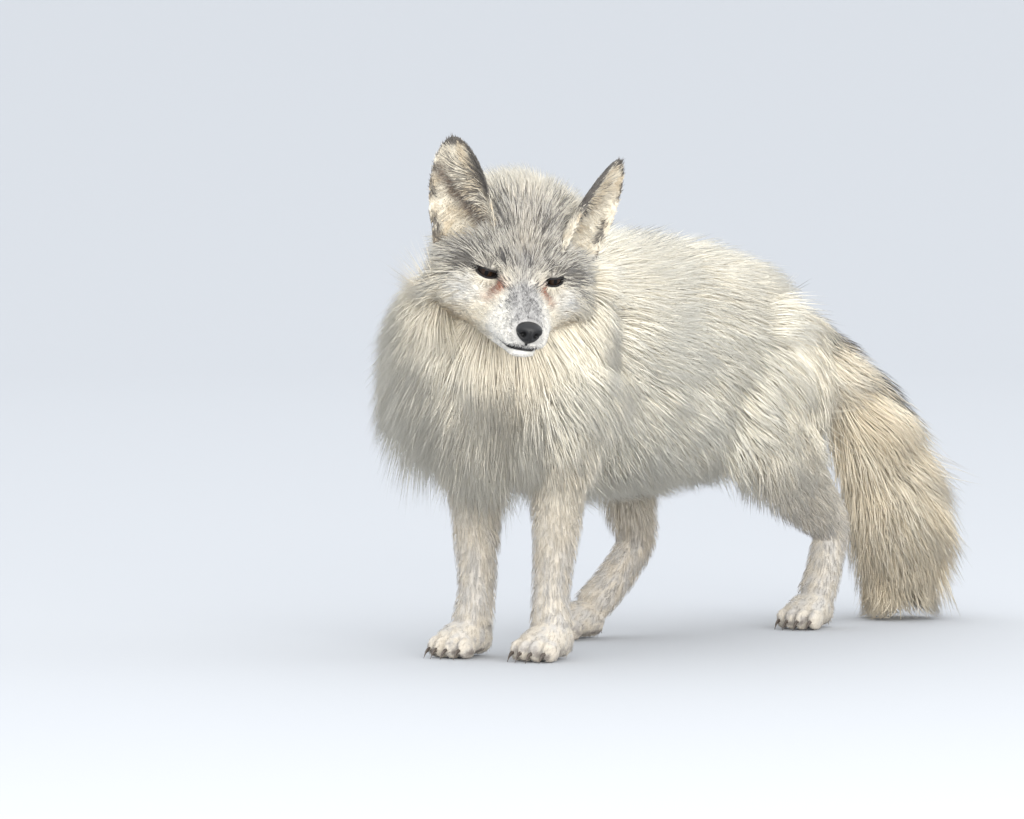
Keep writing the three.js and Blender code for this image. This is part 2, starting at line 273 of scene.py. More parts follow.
def foreLeg(side, forward):
    # the same front leg on either side, moved ahead
    rows = [
        (58, -10, 292, 28, 46, 46, 16),
        (60, -2, 246, 35, 54, 54, 18),
        (51, 10, 200, 31, 42, 42, 15),
        (43, 14, 160, 25, 29, 29, 10),
        (40, 14, 112, 21, 23, 23, 8),
        (37, 11, 64, 17.5, 19, 19, 6.5),
        (39, 8, 34, 20, 20, 20, 6),
    ]
    stations = [(side * r[0], r[1] - forward, *r[2:]) for r in rows]
    return {"stations": stations, "upright": (0, -1, 0), "ends": (24, 14)}


forward = 12  # how far the right front leg stands ahead of the left
legs = {
    "frontLeft": foreLeg(1, 0),
    "frontRight": foreLeg(-1, forward),
    "hindLeft": {
        "stations": [
            (52, 378, 304, 38, 60, 58, 22),
            (64, 366, 254, 42, 72, 72, 24),
            (66, 352, 206, 36, 66, 62, 20),
            (61, 378, 164, 27, 46, 42, 13),
            (56, 420, 130, 22, 33, 30, 9),
            (52, 464, 98, 18.5, 23, 22, 7),
            (51, 458, 62, 18, 20, 20, 6.5),
            (50, 446, 34, 20, 20, 19, 6),
        ],
        "upright": (0, -1, 0),
        "ends": (24, 14),
    },
    "hindRight": {
        "stations": [
            (-52, 370, 304, 38, 56, 62, 22),
            (-62, 336, 254, 42, 66, 70, 24),
            (-62, 292, 206, 35, 54, 56, 20),
            (-54, 268, 164, 27, 34, 36, 13),
            (-48, 268, 126, 22, 25, 24, 9),
            (-46, 274, 92, 18.5, 21, 21, 7),
            (-53, 252, 58, 18.5, 20, 20, 6.5),
            (-62, 226, 32, 20, 19, 19, 6),
        ],
        "upright": (0, -1, 0),
        "ends": (24, 14),
    },
}
paws = {  # x, y and heading in degrees
    "frontLeft": (41, 2, 0),
    "frontRight": (-41, -10, -4),
    "hindLeft": (49, 436, 2),
    "hindRight": (-67, 208, -16),
}
pawShape = {
    "pad": {
        "stations": [
            (0, 18, 18, 18, 17, 20, 4),
            (0, 0, 19, 22, 20, 21, 4),
            (0, -18, 15, 23, 16, 17, 3.5),
        ],
        "ends": (10, 12),
        "square": 0.85,
    },
    "toeStep": 11.5,  # from one toe to the next
    "toe": (7.4, 13, 11.5),  # half width, half length, half height
    "toeCoat": 1.6,
    "clawLength": 8.5,
}

headShape = {
    "stations": [
        (0, 86, -4, 62, 68, 56, 28, 0.02),
        (0, 58, -6, 75, 84, 64, 23, 0.05),
        (0, 30, -10, 77, 74, 62, 18, 0.22),
        (0, 11, -16, 61, 54, 50, 11, 0.34),
        (0, -3, -22, 47, 40, 40, 6, 0.38),
        (0, -16, -27, 35, 33, 32, 3.5, 0.36),
        (0, -32, -30, 28, 27, 24, 2.4, 0.3),
        (0, -50, -31, 24, 21, 20, 1.9, 0.25),
        (0, -66, -32, 20, 17, 16, 1.6, 0.2),
    ],
    "ends": (26, 11),
    "square": 0.95,
    "upShare": 0.7,
}
jawShape = {
    "stations": [
        (0, 6, -50, 38, 8, 14, 8),
        (0, -14, -50, 28, 6, 12, 4),
        (0, -36, -50, 20, 5, 9, 2.2),
        (0, -55, -50, 14, 4.5, 7, 1.6),
    ],
    "ends": (12, 11),
}
earShape = {
    "root": (46, 28, 18),
    "tip": (76, 36, 109),
    "half": 31,
    "wall": 2.6,
    "turn": {1: 48, -1: 30},  # degrees that each hollow faces away from straight ahead
}


def eyeAxes(left):
    # the eyeball's centre, and its directions forward, sideways (outward) and up, in the head's frame
    gaze = turnAbout("z", left * eyeSet["gaze"]) @ turnAbout("x", eyeSet["gazeDown"])
    centre = np.array([left * eyeSet["spread"], eyeSet["depth"], 0.0])
    tilt = turnAbout("y", -left * eyeSet["tilt"])
    turned = gaze @ tilt
    return centre, turned @ [0, -1, 0], turned @ [left, 0, 0], turned @ [0, 0, 1]


def lidEdge(angle):
    # the almond between the lids as angles on the eyeball: a lens with pointed corners, flatter above
    c, s = np.cos(angle), np.sin(angle)
    high = np.where(s > 0, 0.85, 1.0) * eyeSet["halfHeight"]
    x = eyeSet["halfWidth"] * c
    y = high * np.sign(s) * np.abs(s) ** 1.25
    return x / (eyeSet["radius"] + 1.5), y / (eyeSet["radius"] + 1.5)


def lidShell(left, rows=26, around=72, rise=0.0, reach=None):
    # A cap over the front of the eyeball with the almond left open. Row v runs on the outer side of the lid
    # from the almond's edge to a circle round the gaze, or to the almond grown by a reach, then back on its
    # inner side. The lid thickens away from its edge, with a crease along it above.
    centre, out, side, up = eyeAxes(left)
    angle = np.linspace(0, 2 * np.pi, around, endpoint=False)
    ex, ey = lidEdge(angle)
    fx, fy = 1.42 * np.cos(angle), 1.25 * np.sin(angle)
    if reach:
        fx, fy = ex + reach * 1.7 * np.cos(angle), ey + reach * np.sin(angle)
    v = np.concatenate([np.linspace(0, 1, rows), np.linspace(1, 0, rows)])[:, None]
    a, b = ex + (fx - ex) * v, ey + (fy - ey) * v
    bend = np.hypot(a, b) + 1e-9
    beyond = np.hypot(a - ex, b - ey)
    crease = 0.55 * bell(beyond - 0.32, 0.09) * (np.sin(angle) > -0.2)
    outer = (eyeSet["lid"] + rise) * (0.8 + 0.45 * smooth(0, 0.4, beyond)) - crease
    thick = np.where(np.arange(2 * rows)[:, None] < rows, outer, 0.25)
    r = eyeSet["radius"] + thick
    flat = np.sin(bend) / bend
    p = centre + (r * np.cos(bend))[..., None] * out
    p = p + (r * flat * a)[..., None] * side + (r * flat * b)[..., None] * up
    return p


def makeLids():
    # the bare dark rims, standing a little proud of the lids
    rims = [ringClosed(fromHead(lidShell(left, 12, 96, 0.2, 0.1))) for left in (1, -1)]
    points, faces = joined(rims)
    lids = meshFrom("eyelids", points, faces)
    return lids, points


def ringClosed(points):
    # triangles over a grid that goes round on both sides
    rows, around = points.shape[:2]
    i, k = np.meshgrid(np.arange(rows), np.arange(around), indexing="ij")
    a, b = i * around + k, i * around + (k + 1) % around
    c, d = (i + 1) % rows * around + (k + 1) % around, (i + 1) % rows * around + k
    faces = np.concatenate([np.stack([a, b, c], -1), np.stack([a, c, d], -1)]).reshape(-1, 3)
    return outward(points.reshape(-1, 3), faces)


def roundEyes(h, wider, higher):
    # for each eye: distance from its middle in almonds that are wider and higher by so much, and how far the
    # points lie sideways, up and forward of it
    for left in (1, -1):
        centre, out, side, up = eyeAxes(left)
        q = h - centre
        a, b = q @ side, q @ up
        yield np.hypot(a / (eyeSet["halfWidth"] + wider), b / (eyeSet["halfHeight"] + higher)), a, b, q @ out


faceForm = {
    "socket": 13.5,  # radius of the hollow that the eyeball sits in
    "browRise": 2.2,
    "stop": 2.0,  # dip between the eyes
}


def headFlesh():
    # The carried head with its forms added: near each eye the surface is pressed behind the eyeball's middle,
    # the brow swells above it, the bridge dips between the eyes, and a groove parts the upper lip.
    p = carried(headShape, 150, 180)
    flat = p.reshape(-1, 3)
    for left in (1, -1):
        centre, out, side, up = eyeAxes(left)
        q = flat - centre
        reach = q @ out
        across = lengthOf(q - reach[:, None] * out)
        limit = -3 + 9.5 * smooth(6, faceForm["socket"], across)
        press = np.where(reach > 0, np.maximum(reach - limit, 0), 0)
        press = press * (1 - smooth(faceForm["socket"] - 1, faceForm["socket"] + 3, across))
        flat = flat - press[:, None] * out
        brow = centre + 3 * out + 13 * up + 1 * side
        near = bell(lengthOf(flat - brow), 9)
        flat = flat + faceForm["browRise"] * near[:, None] * unit(out + 0.8 * up)
    stop = bell(flat[:, 0], 9) * bell(flat[:, 1] + 14, 12) * smooth(-20, 0, flat[:, 2])
    flat = flat - faceForm["stop"] * stop[:, None] * np.array([0, -0.3, 1])
    middle = smooth(-60, -78, flat[:, 1]) * bell(flat[:, 0], 1.3) * smooth(-28, -34, flat[:, 2])
    flat = flat + 1.5 * middle[:, None] * np.array([0, 1, 0])
    return flat.reshape(p.shape)


def earAxes(left):
    # an ear's root and tip, and its directions along, towards its opening and across
    root, tip = (np.array(earShape[end], float) * (left, 1, 1) for end in ("root", "tip"))
    turn = np.radians(earShape["turn"][left])
    lean = unit(tip - root)
    opening = np.array([left * np.sin(turn), -np.cos(turn), 0.08])
    opening = unit(opening - lean * (opening @ lean))
    return root, tip, lean, opening, np.cross(lean, opening)


def earHalf(v, least=0.0):
    # half an ear's width at v of its height, which falls as (1 - v^3)^0.62
    return earShape["half"] * np.clip(1 - np.clip(v, 0, 1) ** 3, least, 1) ** 0.62


def earFlesh(left, rows=40, across=26):
    # A cupped sheet carried from root to tip: ring v is a crescent, its outer wall a half oval and its inner
    # wall the same one, thinner by the wall, run back.
    root, tip, _, opening, wide = earAxes(left)
    v = np.linspace(0, 0.985, rows)[:, None]
    half = earHalf(v) - 1
    cup = (half + 1) * (0.8 - 0.4 * v)
    middle = root + (tip - root) * v[..., None]
    sweep = np.linspace(0, np.pi, across)[None]
    wall = np.minimum(earShape["wall"], cup * 0.5)
    outer = [np.cos(sweep) * half, cup * 0.5 - np.sin(sweep) * (cup - 1.2)]
    back = np.pi - (0.06 + 0.962 * sweep)
    inner = [np.cos(back) * (half - wall * 0.4), cup * 0.5 - np.sin(back) * (cup - 1.2 - wall)]
    a, b = np.concatenate([outer[0], inner[0]], 1), np.concatenate([outer[1], inner[1]], 1)
    return middle + a[..., None] * wide + b[..., None] * opening


def eggGrid(centre, radii, rows=24, around=28):
    # latitude and longitude grid on an ellipsoid
    lat = np.linspace(-np.pi / 2 + 0.1, np.pi / 2 - 0.1, rows)[:, None]
    lon = np.linspace(0, 2 * np.pi, around, endpoint=False)
    p = np.stack([np.cos(lat) * np.cos(lon), np.cos(lat) * np.sin(lon), np.sin(lat) + lon * 0], -1)
    return p * np.array(radii) + np.array(centre)


def pawFlesh(x, y, heading):
    # a carried pad with four egg-shaped toes before it, on an arc
    turn = turnAbout("z", heading)
    grids = [carried(pawShape["pad"], 24, 40)]
    radii = np.array(pawShape["toe"]) - pawShape["toeCoat"]
    for k in (-1.5, -0.5, 0.5, 1.5):
        grids.append(eggGrid((k * pawShape["toeStep"], -29 + 4.5 * abs(k), 10), radii))
    return [grid @ turn.T + (x, y, 0) for grid in grids]


skinMake = {
    "voxel": 1.2,  # mm
    "smoothing": 4,
    "triangles": 170000,
    "faceKeeps": 4,  # how much more strongly the face resists thinning
}
flank = {"middle": (50, 316, 243), "radii": (27, 88, 68)}  # swells the flesh between belly and thigh


def skinParts():
    # all the flesh as closed shells that overlap
    parts = [closedGrid(carried(piece)) for piece in (trunk, neck, tail)]
    parts += [closedGrid(carried(piece, nearer=4)) for piece in legs.values()]
    for spot in paws.values():
        parts += [closedGrid(grid) for grid in pawFlesh(*spot)]
    for left in (1, -1):
        middle = np.array(flank["middle"]) * (left, 1, 1)
        parts.append(closedGrid(eggGrid(middle, flank["radii"], 40, 60)))
    head = [headFlesh(), carried(jawShape, 40, 60)]
    head += [earFlesh(left) for left in (1, -1)]
    parts += [closedGrid(fromHead(grid)) for grid in head]
    parts += [ringClosed(fromHead(lidShell(left))) for left in (1, -1)]
    return joined(parts)


def welded(thing, voxel, rounds):
    # one surface from overlapping closed ones, by a voxel remesh in millimetres and rounds of smoothing
    remesh = thing.modifiers.new("one", "REMESH")
    remesh.mode, remesh.voxel_size = "VOXEL", voxel / 1000
    soften = thing.modifiers.new("soften", "SMOOTH")
    soften.factor, soften.iterations = 0.5, rounds
    finished(thing)


def finished(thing):
    # the object with its modifiers applied
    graph = bpy.context.evaluated_depsgraph_get()
    mesh = bpy.data.meshes.new_from_object(thing.evaluated_get(graph))
    old = thing.data
    thing.modifiers.clear()
    thing.data = mesh
    bpy.data.meshes.remove(old)
    smoothShade(mesh)


def makeSkin():
    # one skin round all the shells, with its triangles thinned
    points, faces = skinParts()
    skin = meshFrom("skin", points, faces)
    welded(skin, skinMake["voxel"], skinMake["smoothing"])
    # the face keeps more of its triangles: its share goes into a vertex group, in steps
    where, tris, _ = meshArrays(skin.data)
    h = intoHead(where)
    face = smooth(42, 22, h[:, 1]) * smooth(-95, -80, h[:, 1]) * smooth(70, 60, np.abs(h[:, 0]))
    group = skin.vertex_groups.new(name="face")
    for level in np.linspace(0.1, 1, 10):
        chosen = np.nonzero((face > level - 0.1) & (face <= level))[0]
        group.add(chosen.tolist(), float(level), "REPLACE")
    thin = skin.modifiers.new("thin", "DECIMATE")
    thin.ratio = min(1, skinMake["triangles"] / len(tris))
    thin.vertex_group, thin.invert_vertex_group = "face", True
    thin.vertex_group_factor = skinMake["faceKeeps"]
    finished(skin)
    skin.vertex_groups.clear()
    print("skin:", len(tris), "triangles, thinned to", len(skin.data.polygons))
    return skin


def arrayOf(items, key, width, kind=np.float32):
    values = np.empty(len(items) * width, kind)
    items.foreach_get(key, values)
    return values.reshape(-1, width)


def meshArrays(mesh):
    # corners, triangles and corner normals, corners in millimetres
    mesh.calc_loop_triangles()
    points = (arrayOf(mesh.vertices, "co", 3).astype(float) - shift) * 1000
    tris = arrayOf(mesh.loop_triangles, "vertices", 3, np.int32)
    return points, tris, arrayOf(mesh.vertex_normals, "vector", 3).astype(float)


def cloud(p, size, seed=0):
    # value noise: a random number at each corner of a grid, blended smoothly inside the cells, 0 to 1
    q = np.asarray(p, float) / size + 57.3 + seed * 13.7
    base = np.floor(q).astype(np.int64)
    u = q - base
    u = u * u * (3 - 2 * u)
    total = 0
    for corner in np.ndindex(2, 2, 2):
        share = np.prod(np.where(corner, u, 1 - u), axis=1)
        total = total + share * scatter(base + corner, seed)
    return total


def scatter(cell, seed=0):
    # a repeatable random number from whole-number cells
    k = (cell * np.array([73856093, 19349663, 83492791])).sum(-1) + seed * 2654435
    k = (k ^ (k >> 13)) & 0x7FFFFFFF
    k = (k * 1103515245 + 12345) & 0x7FFFFFFF
    k = (k ^ (k >> 11)) * 1597334677 & 0x7FFFFFFF
    return (k >> 7) / float(1 << 24)


def lockCentres(p, size, seed):
    # the nearest of the scattered centres, one in each cell of a grid, and that cell's own random numbers
    base = np.floor(p / size).astype(np.int64)
    best = np.full(len(p), np.inf)
    centre, cell = np.zeros_like(p), np.zeros_like(base)
    for step in np.ndindex(3, 3, 3):
        near = base + np.array(step) - 1
        spot = np.stack([scatter(near, seed + k) for k in range(3)], 1)
        spot = (near + spot) * size
        far = ((spot - p) ** 2).sum(1)
        closer = far < best
        best[closer], centre[closer], cell[closer] = far[closer], spot[closer], near[closer]
    return centre, np.stack([scatter(cell, seed + 10 + k) for k in range(5)], 1)


bodies = {"trunk": trunk, "neck": neck, "tail": tail, **legs, "head": headShape, "jaw": jawShape}
bodyNames = [*bodies, "earLeft", "earRight"]


def readBody(piece, p, samples=56):
    # The closest place on the path: about how far the point is outside the flesh, the share of the way along,
    # the angle round the path, the flesh's radius, the coat's depth and the path's direction. Outside is
    # measured as a stretched distance from the middle, less 1, times the mean of the flesh's two radii.
    n = len(piece["stations"]) - 1
    steps = np.linspace(0, n, samples)
    row, ahead, side, up = pathOf(piece, steps)
    found = np.full(len(p), np.inf)
    pick, angle, reach = np.zeros(len(p), int), np.zeros(len(p)), np.ones(len(p))
    for k in range(samples):
        q = p - row[k, :3]
        a, s, u = q @ ahead[k], q @ side[k], q @ up[k]
        tall = np.where(u > 0, row[k, 4], row[k, 5]) - row[k, 6] * 0.9
        wide = row[k, 3] - row[k, 6]
        out = np.sqrt((s / wide) ** 2 + (u / tall) ** 2 + (a / (0.25 * (wide + tall))) ** 2)
        out = (out - 1) * (wide + tall) / 2
        near = out < found
        found[near], pick[near] = out[near], k
        angle[near], reach[near] = np.arctan2(u[near], s[near]), np.hypot(s[near], u[near])
    return found, steps[pick] / n, angle / (2 * np.pi) + 0.5, reach, row[pick, 6], ahead[pick]


def readEar(left, h):
    # share of the way to the tip, distance to the outer edge's side, and distance towards the opening
    root, tip, lean, opening, wide = earAxes(left)
    q = h - root
    v = q @ lean / np.linalg.norm(tip - root)
    return v, q @ wide * left, q @ opening, lean, opening, wide * left


class Place:
    # everything that the coat asks about a set of points on the skin
    pass


def mixed(a, b, share):
    # a moved towards b by a share
    share = np.asarray(share)[..., None]
    return a * (1 - share) + np.asarray(b) * share


def readPlaces(p, normal):
    # which body each point lies on, where along and round it, and the coat's depth there
    here = Place()
    here.p, here.n, here.h = p, normal, intoHead(p)
    count = len(p)
    found = np.full(count, np.inf)
    here.body = np.zeros(count, int)
    here.along, here.round, here.radius, here.depth = (np.zeros(count) for _ in range(4))
    here.ahead = np.zeros((count, 3))
    for number, (name, piece) in enumerate(bodies.items()):
        inHead = name in ("head", "jaw")
        out, along, turn, radius, depth, ahead = readBody(piece, here.h if inHead else p)
        near = out < found
        here.body[near], found[near] = number, out[near]
        if inHead:
            ahead = ahead @ headTurn.T
        for own, new in zip(
            (here.along, here.round, here.radius, here.depth, here.ahead),
            (along, turn, radius, depth, ahead),
        ):
            own[near] = new[near]
    here.ear = np.zeros((count, 4))  # share to the tip, outward, towards the opening, and which ear
    for number, left in ((len(bodies), 1), (len(bodies) + 1, -1)):
        v, w, o, lean, opening, _ = readEar(left, here.h)
        half = earHalf(v)
        cup = half * (0.8 - 0.4 * np.clip(v, 0, 1))
        out = (np.hypot(w / (half + 1.5), o / (cup * 0.5 + 1.5)) - 1) * 15 + 90 * np.maximum(0.04 - v, 0)
        near = (out < found - 0.5) & (v > -0.12) & (v < 1.1)
        here.body[near] = number
        here.ear[near] = np.stack([v, w, o, v * 0 + left], 1)[near]
        here.along[near], here.radius[near], here.depth[near] = np.clip(v, 0, 1)[near], 40, 2
        here.round[near] = (w / half * 0.24 + np.where(normal @ (headTurn @ opening) > 0, 0.25, 0.75))[near]
        here.ahead[near] = headTurn @ lean
    return here


def isBody(here, *names):
    # where the closest body is one of these
    return np.isin(here.body, [bodyNames.index(name) for name in names])


def put(target, value, here, *names):
    # the values, only where the closest body is one of these
    on = isBody(here, *names)
    target[on] = value[on]


def layOfCoat(here):
    # the direction that the hair runs, before it is laid on the skin and blended over the joins
    back, down = np.array([0.0, 1, 0]), np.array([0.0, 0, -1])
    n, h = here.n, here.h
    flow = here.ahead.copy()
    rear = smooth(200, 420, here.p[:, 1])
    low = smooth(330, 200, here.p[:, 2])
    lean = 0.4 + 0.6 * low + 0.7 * rear
    put(flow, back + down * lean[:, None], here, "trunk")
    # the mane runs outward from the face and down
    mane = unit(here.p - fromHead((0, -10, -10))) + 0.55 * down
    front = smooth(170, 10, here.p[:, 1])[:, None]
    put(flow, flow * (1 - front) + front * mane, here, "trunk")
    put(flow, mane, here, "neck")
    away = np.stack([h[:, 0] * 0.02, np.full(len(h), 1.0), h[:, 2] * 0.004], 1)
    cheek = cheekShare(h)
    away[:, 0] = away[:, 0] * smooth(-40, 10, h[:, 1]) + 1.2 * cheek * np.clip(h[:, 0] / 25, -1, 1)
    away[:, 1] -= 0.5 * cheek
    away[:, 2] -= 0.5 * smooth(0, 45, h[:, 1]) * smooth(25, -25, h[:, 2]) + 0.7 * cheek
    away[:, 2] += 0.55 * smooth(-25, 0, h[:, 1]) * smooth(0, 22, h[:, 2]) * smooth(60, 20, h[:, 1])
    for left in (1, -1):
        centre, out = eyeAxes(left)[:2]
        q = h - centre
        near = bell(lengthOf(q - 5 * out), 17)
        away += 1.4 * near[:, None] * unit(q - (q @ out)[:, None] * out)
    put(flow, away @ headTurn.T, here, "head", "jaw")
    for name, left in (("earLeft", 1), ("earRight", -1)):
        v, w, _, lean, opening, wide = readEar(left, h)
        inside = smooth(-0.2, 0.3, n @ (headTurn @ opening))
        across = inside * smooth(0.95, 0.2, v) * smooth(0.9, 0.5, np.abs(w) / earHalf(v, 0.02)) * 1.3
        across = across[:, None]
        put(flow, (lean + across * wide - 1.15 * across * lean) @ headTurn.T, here, name)
    upper = smooth(0.4, 0.05, here.along)[:, None]
    leg = here.ahead * (1 - 0.7 * upper) + back * (0.1 + 0.9 * upper) + down * (0.1 + 0.5 * upper)
    put(flow, leg, here, *legs)
    put(flow, here.ahead + 0.25 * down, here, "tail")
    foot = footShare(here)
    toes = np.zeros((len(h), 3))
    for name in legs:
        heading = turnAbout("z", paws[name][2]) @ np.array([0, -1, 0])
        toes[isBody(here, name)] = heading + 0.5 * down
    flow = mixed(unit(flow), toes, foot)
    return unit(flow)


def cheekShare(h):
    # 1 on the cheeks, behind and below the eyes
    return smooth(4, 30, h[:, 1]) * smooth(8, -20, h[:, 2])


def footShare(here):
    # 1 on the paws
    return np.where(isBody(here, *legs), smooth(36, 16, here.p[:, 2]), 0)


def foldShare(here):
    # 1 on the front of a thigh, where the coat hangs from the flank
    front = smooth(0.3, -0.6, here.n[:, 1]) * smooth(95, 140, here.p[:, 2]) * smooth(235, 175, here.p[:, 2])
    return front * isBody(here, "hindLeft", "hindRight")


def earBands(here):
    # across an ear: -1 on its inner edge and 1 on its outer one, and the same less the dark hollow's middle
    v, w = here.ear.T[:2]
    edge = w / earHalf(v, 0.02)
    return edge, edge + 0.7 - 2 * np.clip(v, 0, 0.75)


def earFacing(here):
    # 1 where the skin faces an ear's opening, -1 on its back
    return dot(here.n, np.where(here.ear[:, 3:] > 0, earOpening[1], earOpening[-1]))


def insideEar(here):
    # 1 well inside the hollow of an ear, most near its root and its inner edge
    v, w = here.ear.T[:2]
    middle = smooth(0.9, 0.6, np.abs(w) / earShape["half"])
    return smooth(0.2, 0.6, earFacing(here)) * smooth(0.95, 0.5, v) * middle


hairForm = {  # hair's length in mm: so many times the coat's depth, and so much more
    "body": (2.35, 8),
    "tail": (2.6, 10),
    "cheek": 18,
    "crown": 12,
    "headMost": 68,
    "ear": 5,
    "earCombed": 15,  # the pale hair that is combed into an ear's hollow
    "shaggy": 8,  # upper legs
    "fold": 22,  # on the thigh's front, over the fold
    "paw": 5.5,
}
depthForm = {  # what the tips stand further out than the body's own table says, in mm
    "fore": 8,
    "cheek": 7,
    "ruff": 22,
    "ridge": 5,
    "fold": 13,
    "crownCorner": 11,
    "tailEnd": 16,
    "tailBack": 9,
    "earHollow": 7,
    "paw": 2.0,
}


def hairLength(here):
    # length from the coat's depth; longest on the mane, hips and tail
    depth, (_, back, up), height = here.depth, here.h.T, here.p[:, 2]
    times, more = hairForm["body"]
    long = depth * times + more
    times, more = hairForm["tail"]
    put(long, depth * times + more, here, "tail")
    throat = smooth(-14, -42, up) * smooth(-22, 0, back)
    top = smooth(-5, 15, up)
    furry = depth * (1.7 + 0.5 * smooth(0, 40, back)) + 2.5 - 1.2 * smooth(-12, -30, back)
    put(long, furry * (1 + 0.6 * throat - 0.25 * top), here, "head", "jaw")
    cheek = smooth(8, 34, back) * smooth(8, -16, up)
    crown = smooth(20, 50, back) * smooth(10, 30, up)
    longer = long + hairForm["cheek"] * cheek + hairForm["crown"] * crown
    put(long, np.minimum(longer, hairForm["headMost"]), here, "head", "jaw")
    combed = smooth(0.0, -0.35, earBands(here)[1] + 0.2)
    inEar = (2 + hairForm["earCombed"] * combed) * insideEar(here)
    put(long, hairForm["ear"] + inEar, here, "earLeft", "earRight")
    shaggy = smooth(140, 225, height)
    leg = depth * (1.3 + 1.2 * shaggy) + 3 + hairForm["shaggy"] * shaggy
    put(long, leg + hairForm["fold"] * foldShare(here), here, *legs)
    # paws keep a short coat, and nothing near the floor hangs past it
    foot = footShare(here)
    long = long * (1 - foot) + hairForm["paw"] * foot
    room = (height * 0.95 + 10) * (0.62 + 0.6 * cloud(here.p, 20, 30))
    return np.where(isBody(here, "tail"), np.minimum(long, room), long)


def coatDepth(here):
    # How far the tips stand from the skin: the body's own depth, less above and below than at the sides,
    # with more on the places named in depthForm.
    (x, _, z), (_, back, _), (nx, ny, nz) = here.p.T, here.h.T, here.n.T
    more = depthForm
    foot, onTail = footShare(here), isBody(here, "tail")
    onHead, onNeck = isBody(here, "head", "jaw"), isBody(here, "neck")
    depth = here.depth * (1 - foot) + more["paw"] * foot
    depth = depth + isBody(here, "earLeft", "earRight") * more["earHollow"] * insideEar(here)
    upright = np.sin(here.round * 2 * np.pi) ** 2
    depth = depth * (1 - upright * np.where(onHead, 0.32, 0.1))
    end = smooth(0.7, 1.0, here.along) * onTail
    depth = depth * (1 - 0.5 * end) + more["tailEnd"] * end * smooth(-0.2, -0.8, nz)
    depth = depth + more["tailBack"] * onTail * smooth(0, -0.7, ny) * smooth(0.25, 0.5, here.along)
    fore = isBody(here, "frontLeft", "frontRight") * smooth(190, 240, z)
    theta = (here.round - 0.5) * 2 * np.pi
    corner = smooth(0.2, 0.9, np.abs(np.sin(2 * theta))) * (theta > 0) * isBody(here, "head")
    corner = corner * smooth(12, 44, back)
    ruff = onNeck * smooth(0.5, 0.2, here.along) * smooth(0.3, -0.3, nx) * smooth(-0.3, 0.2, nz)
    ridge = isBody(here, "trunk") * bell(x, 22) * smooth(0.6, 0.9, nz)
    deep = onNeck * smooth(0.55, 1.0, here.along) * smooth(0.2, -0.5, nx)
    depth = depth + more["fore"] * fore + more["cheek"] * (onHead * cheekShare(here.h)) + more["ruff"] * ruff
    depth = depth + more["ridge"] * ridge + more["fold"] * foldShare(here) + more["crownCorner"] * corner
    return depth * (1 - 0.3 * deep)


def blended(values, tris, rounds):
    # each corner's value moved towards the mean of its neighbours, over and over
    a = np.concatenate([tris[:, 0], tris[:, 1], tris[:, 2]])
    b = np.concatenate([tris[:, 1], tris[:, 2], tris[:, 0]])
    count = np.bincount(a, minlength=len(values)) + np.bincount(b, minlength=len(values)) + 1e-9
    flat = values.reshape(len(values), -1)
    for _ in range(rounds):
        mean = [
            np.bincount(a, flat[b, k], len(flat)) + np.bincount(b, flat[a, k], len(flat))
            for k in range(flat.shape[1])
        ]
        flat = np.stack(mean, 1) / count[:, None]
    return flat.reshape(values.shape)


tones = {  # linear colours
    "cream": (0.94, 0.90, 0.78),
    # the cream at the roots: partly the underfur's own tan, partly painted shade deep in the coat
    "creamUnderfurAndShade": (0.92, 0.85, 0.70),
    "white": (0.87, 0.86, 0.83),
    "tan": (0.62, 0.50, 0.33),
    "grey": (0.42, 0.41, 0.40),
    "dark": (0.035, 0.032, 0.034),
    "brown": (0.09, 0.06, 0.045),
    "rust": (0.30, 0.10, 0.045),
    "skinDark": (0.02, 0.018, 0.018),
}


def mirrored(h):
    # both halves of the face laid on its left one
    return np.stack([np.abs(h[:, 0]), h[:, 1], h[:, 2]], 1)


def lineGap(q, start, end):
    # distance to a line between two points, and the share of the way along it
    a, b = np.array(start, float), np.array(end, float)
    u = np.clip((q - a) @ (b - a) / ((b - a) @ (b - a)), 0, 1)
    return lengthOf(q - a - u[:, None] * (b - a)), u


def spot(h, centre, size):
    # a soft round blot: a bell of the distance from its centre, stretched to three sizes
    q = h - np.array(centre, float)
    return bell(lengthOf(q / np.array(size, float)), 1.0)


def streak(h, name):
    # a bell of the distance from a line, half as strong at the line's end
    start, end, width, strength = faceStreaks[name]
    gap, u = lineGap(mirrored(h), start, end)
    return strength * (bell(gap, width) * (1 - 0.5 * u))


faceStreaks = {  # on both sides of the face: from and to in mm, half width and strength
    "stripe": ((38, 6, 1), (55, 22, -16), 5.5, 0.9),  # back and down from the eye
    "temple": ((30, 2, 13), (52, 22, 6), 7, 0.35),
    "outerCorner": ((40, 6, 1), (47, 14, -2), 2.6, 0.9),
    "innerCorner": ((18, -10, -3), (16, -16, -6), 2.0, 0.8),
    "tear": ((17, -18, -8), (24, -17, -19), 5.2, 1.6),  # rust, under the inner corner
}
markSpread = {
    "patch": 16,  # mm across the clouds that break up the markings
    "speck": 5,
    "ridge": 22,  # half width of the dark tips along the back
    "throatTanAndShade": 52,  # how far the tan round the throat reaches, partly its own tan and partly painted shade under the head
    "hindTan": 0.22,  # extra tan on the right hind leg
}


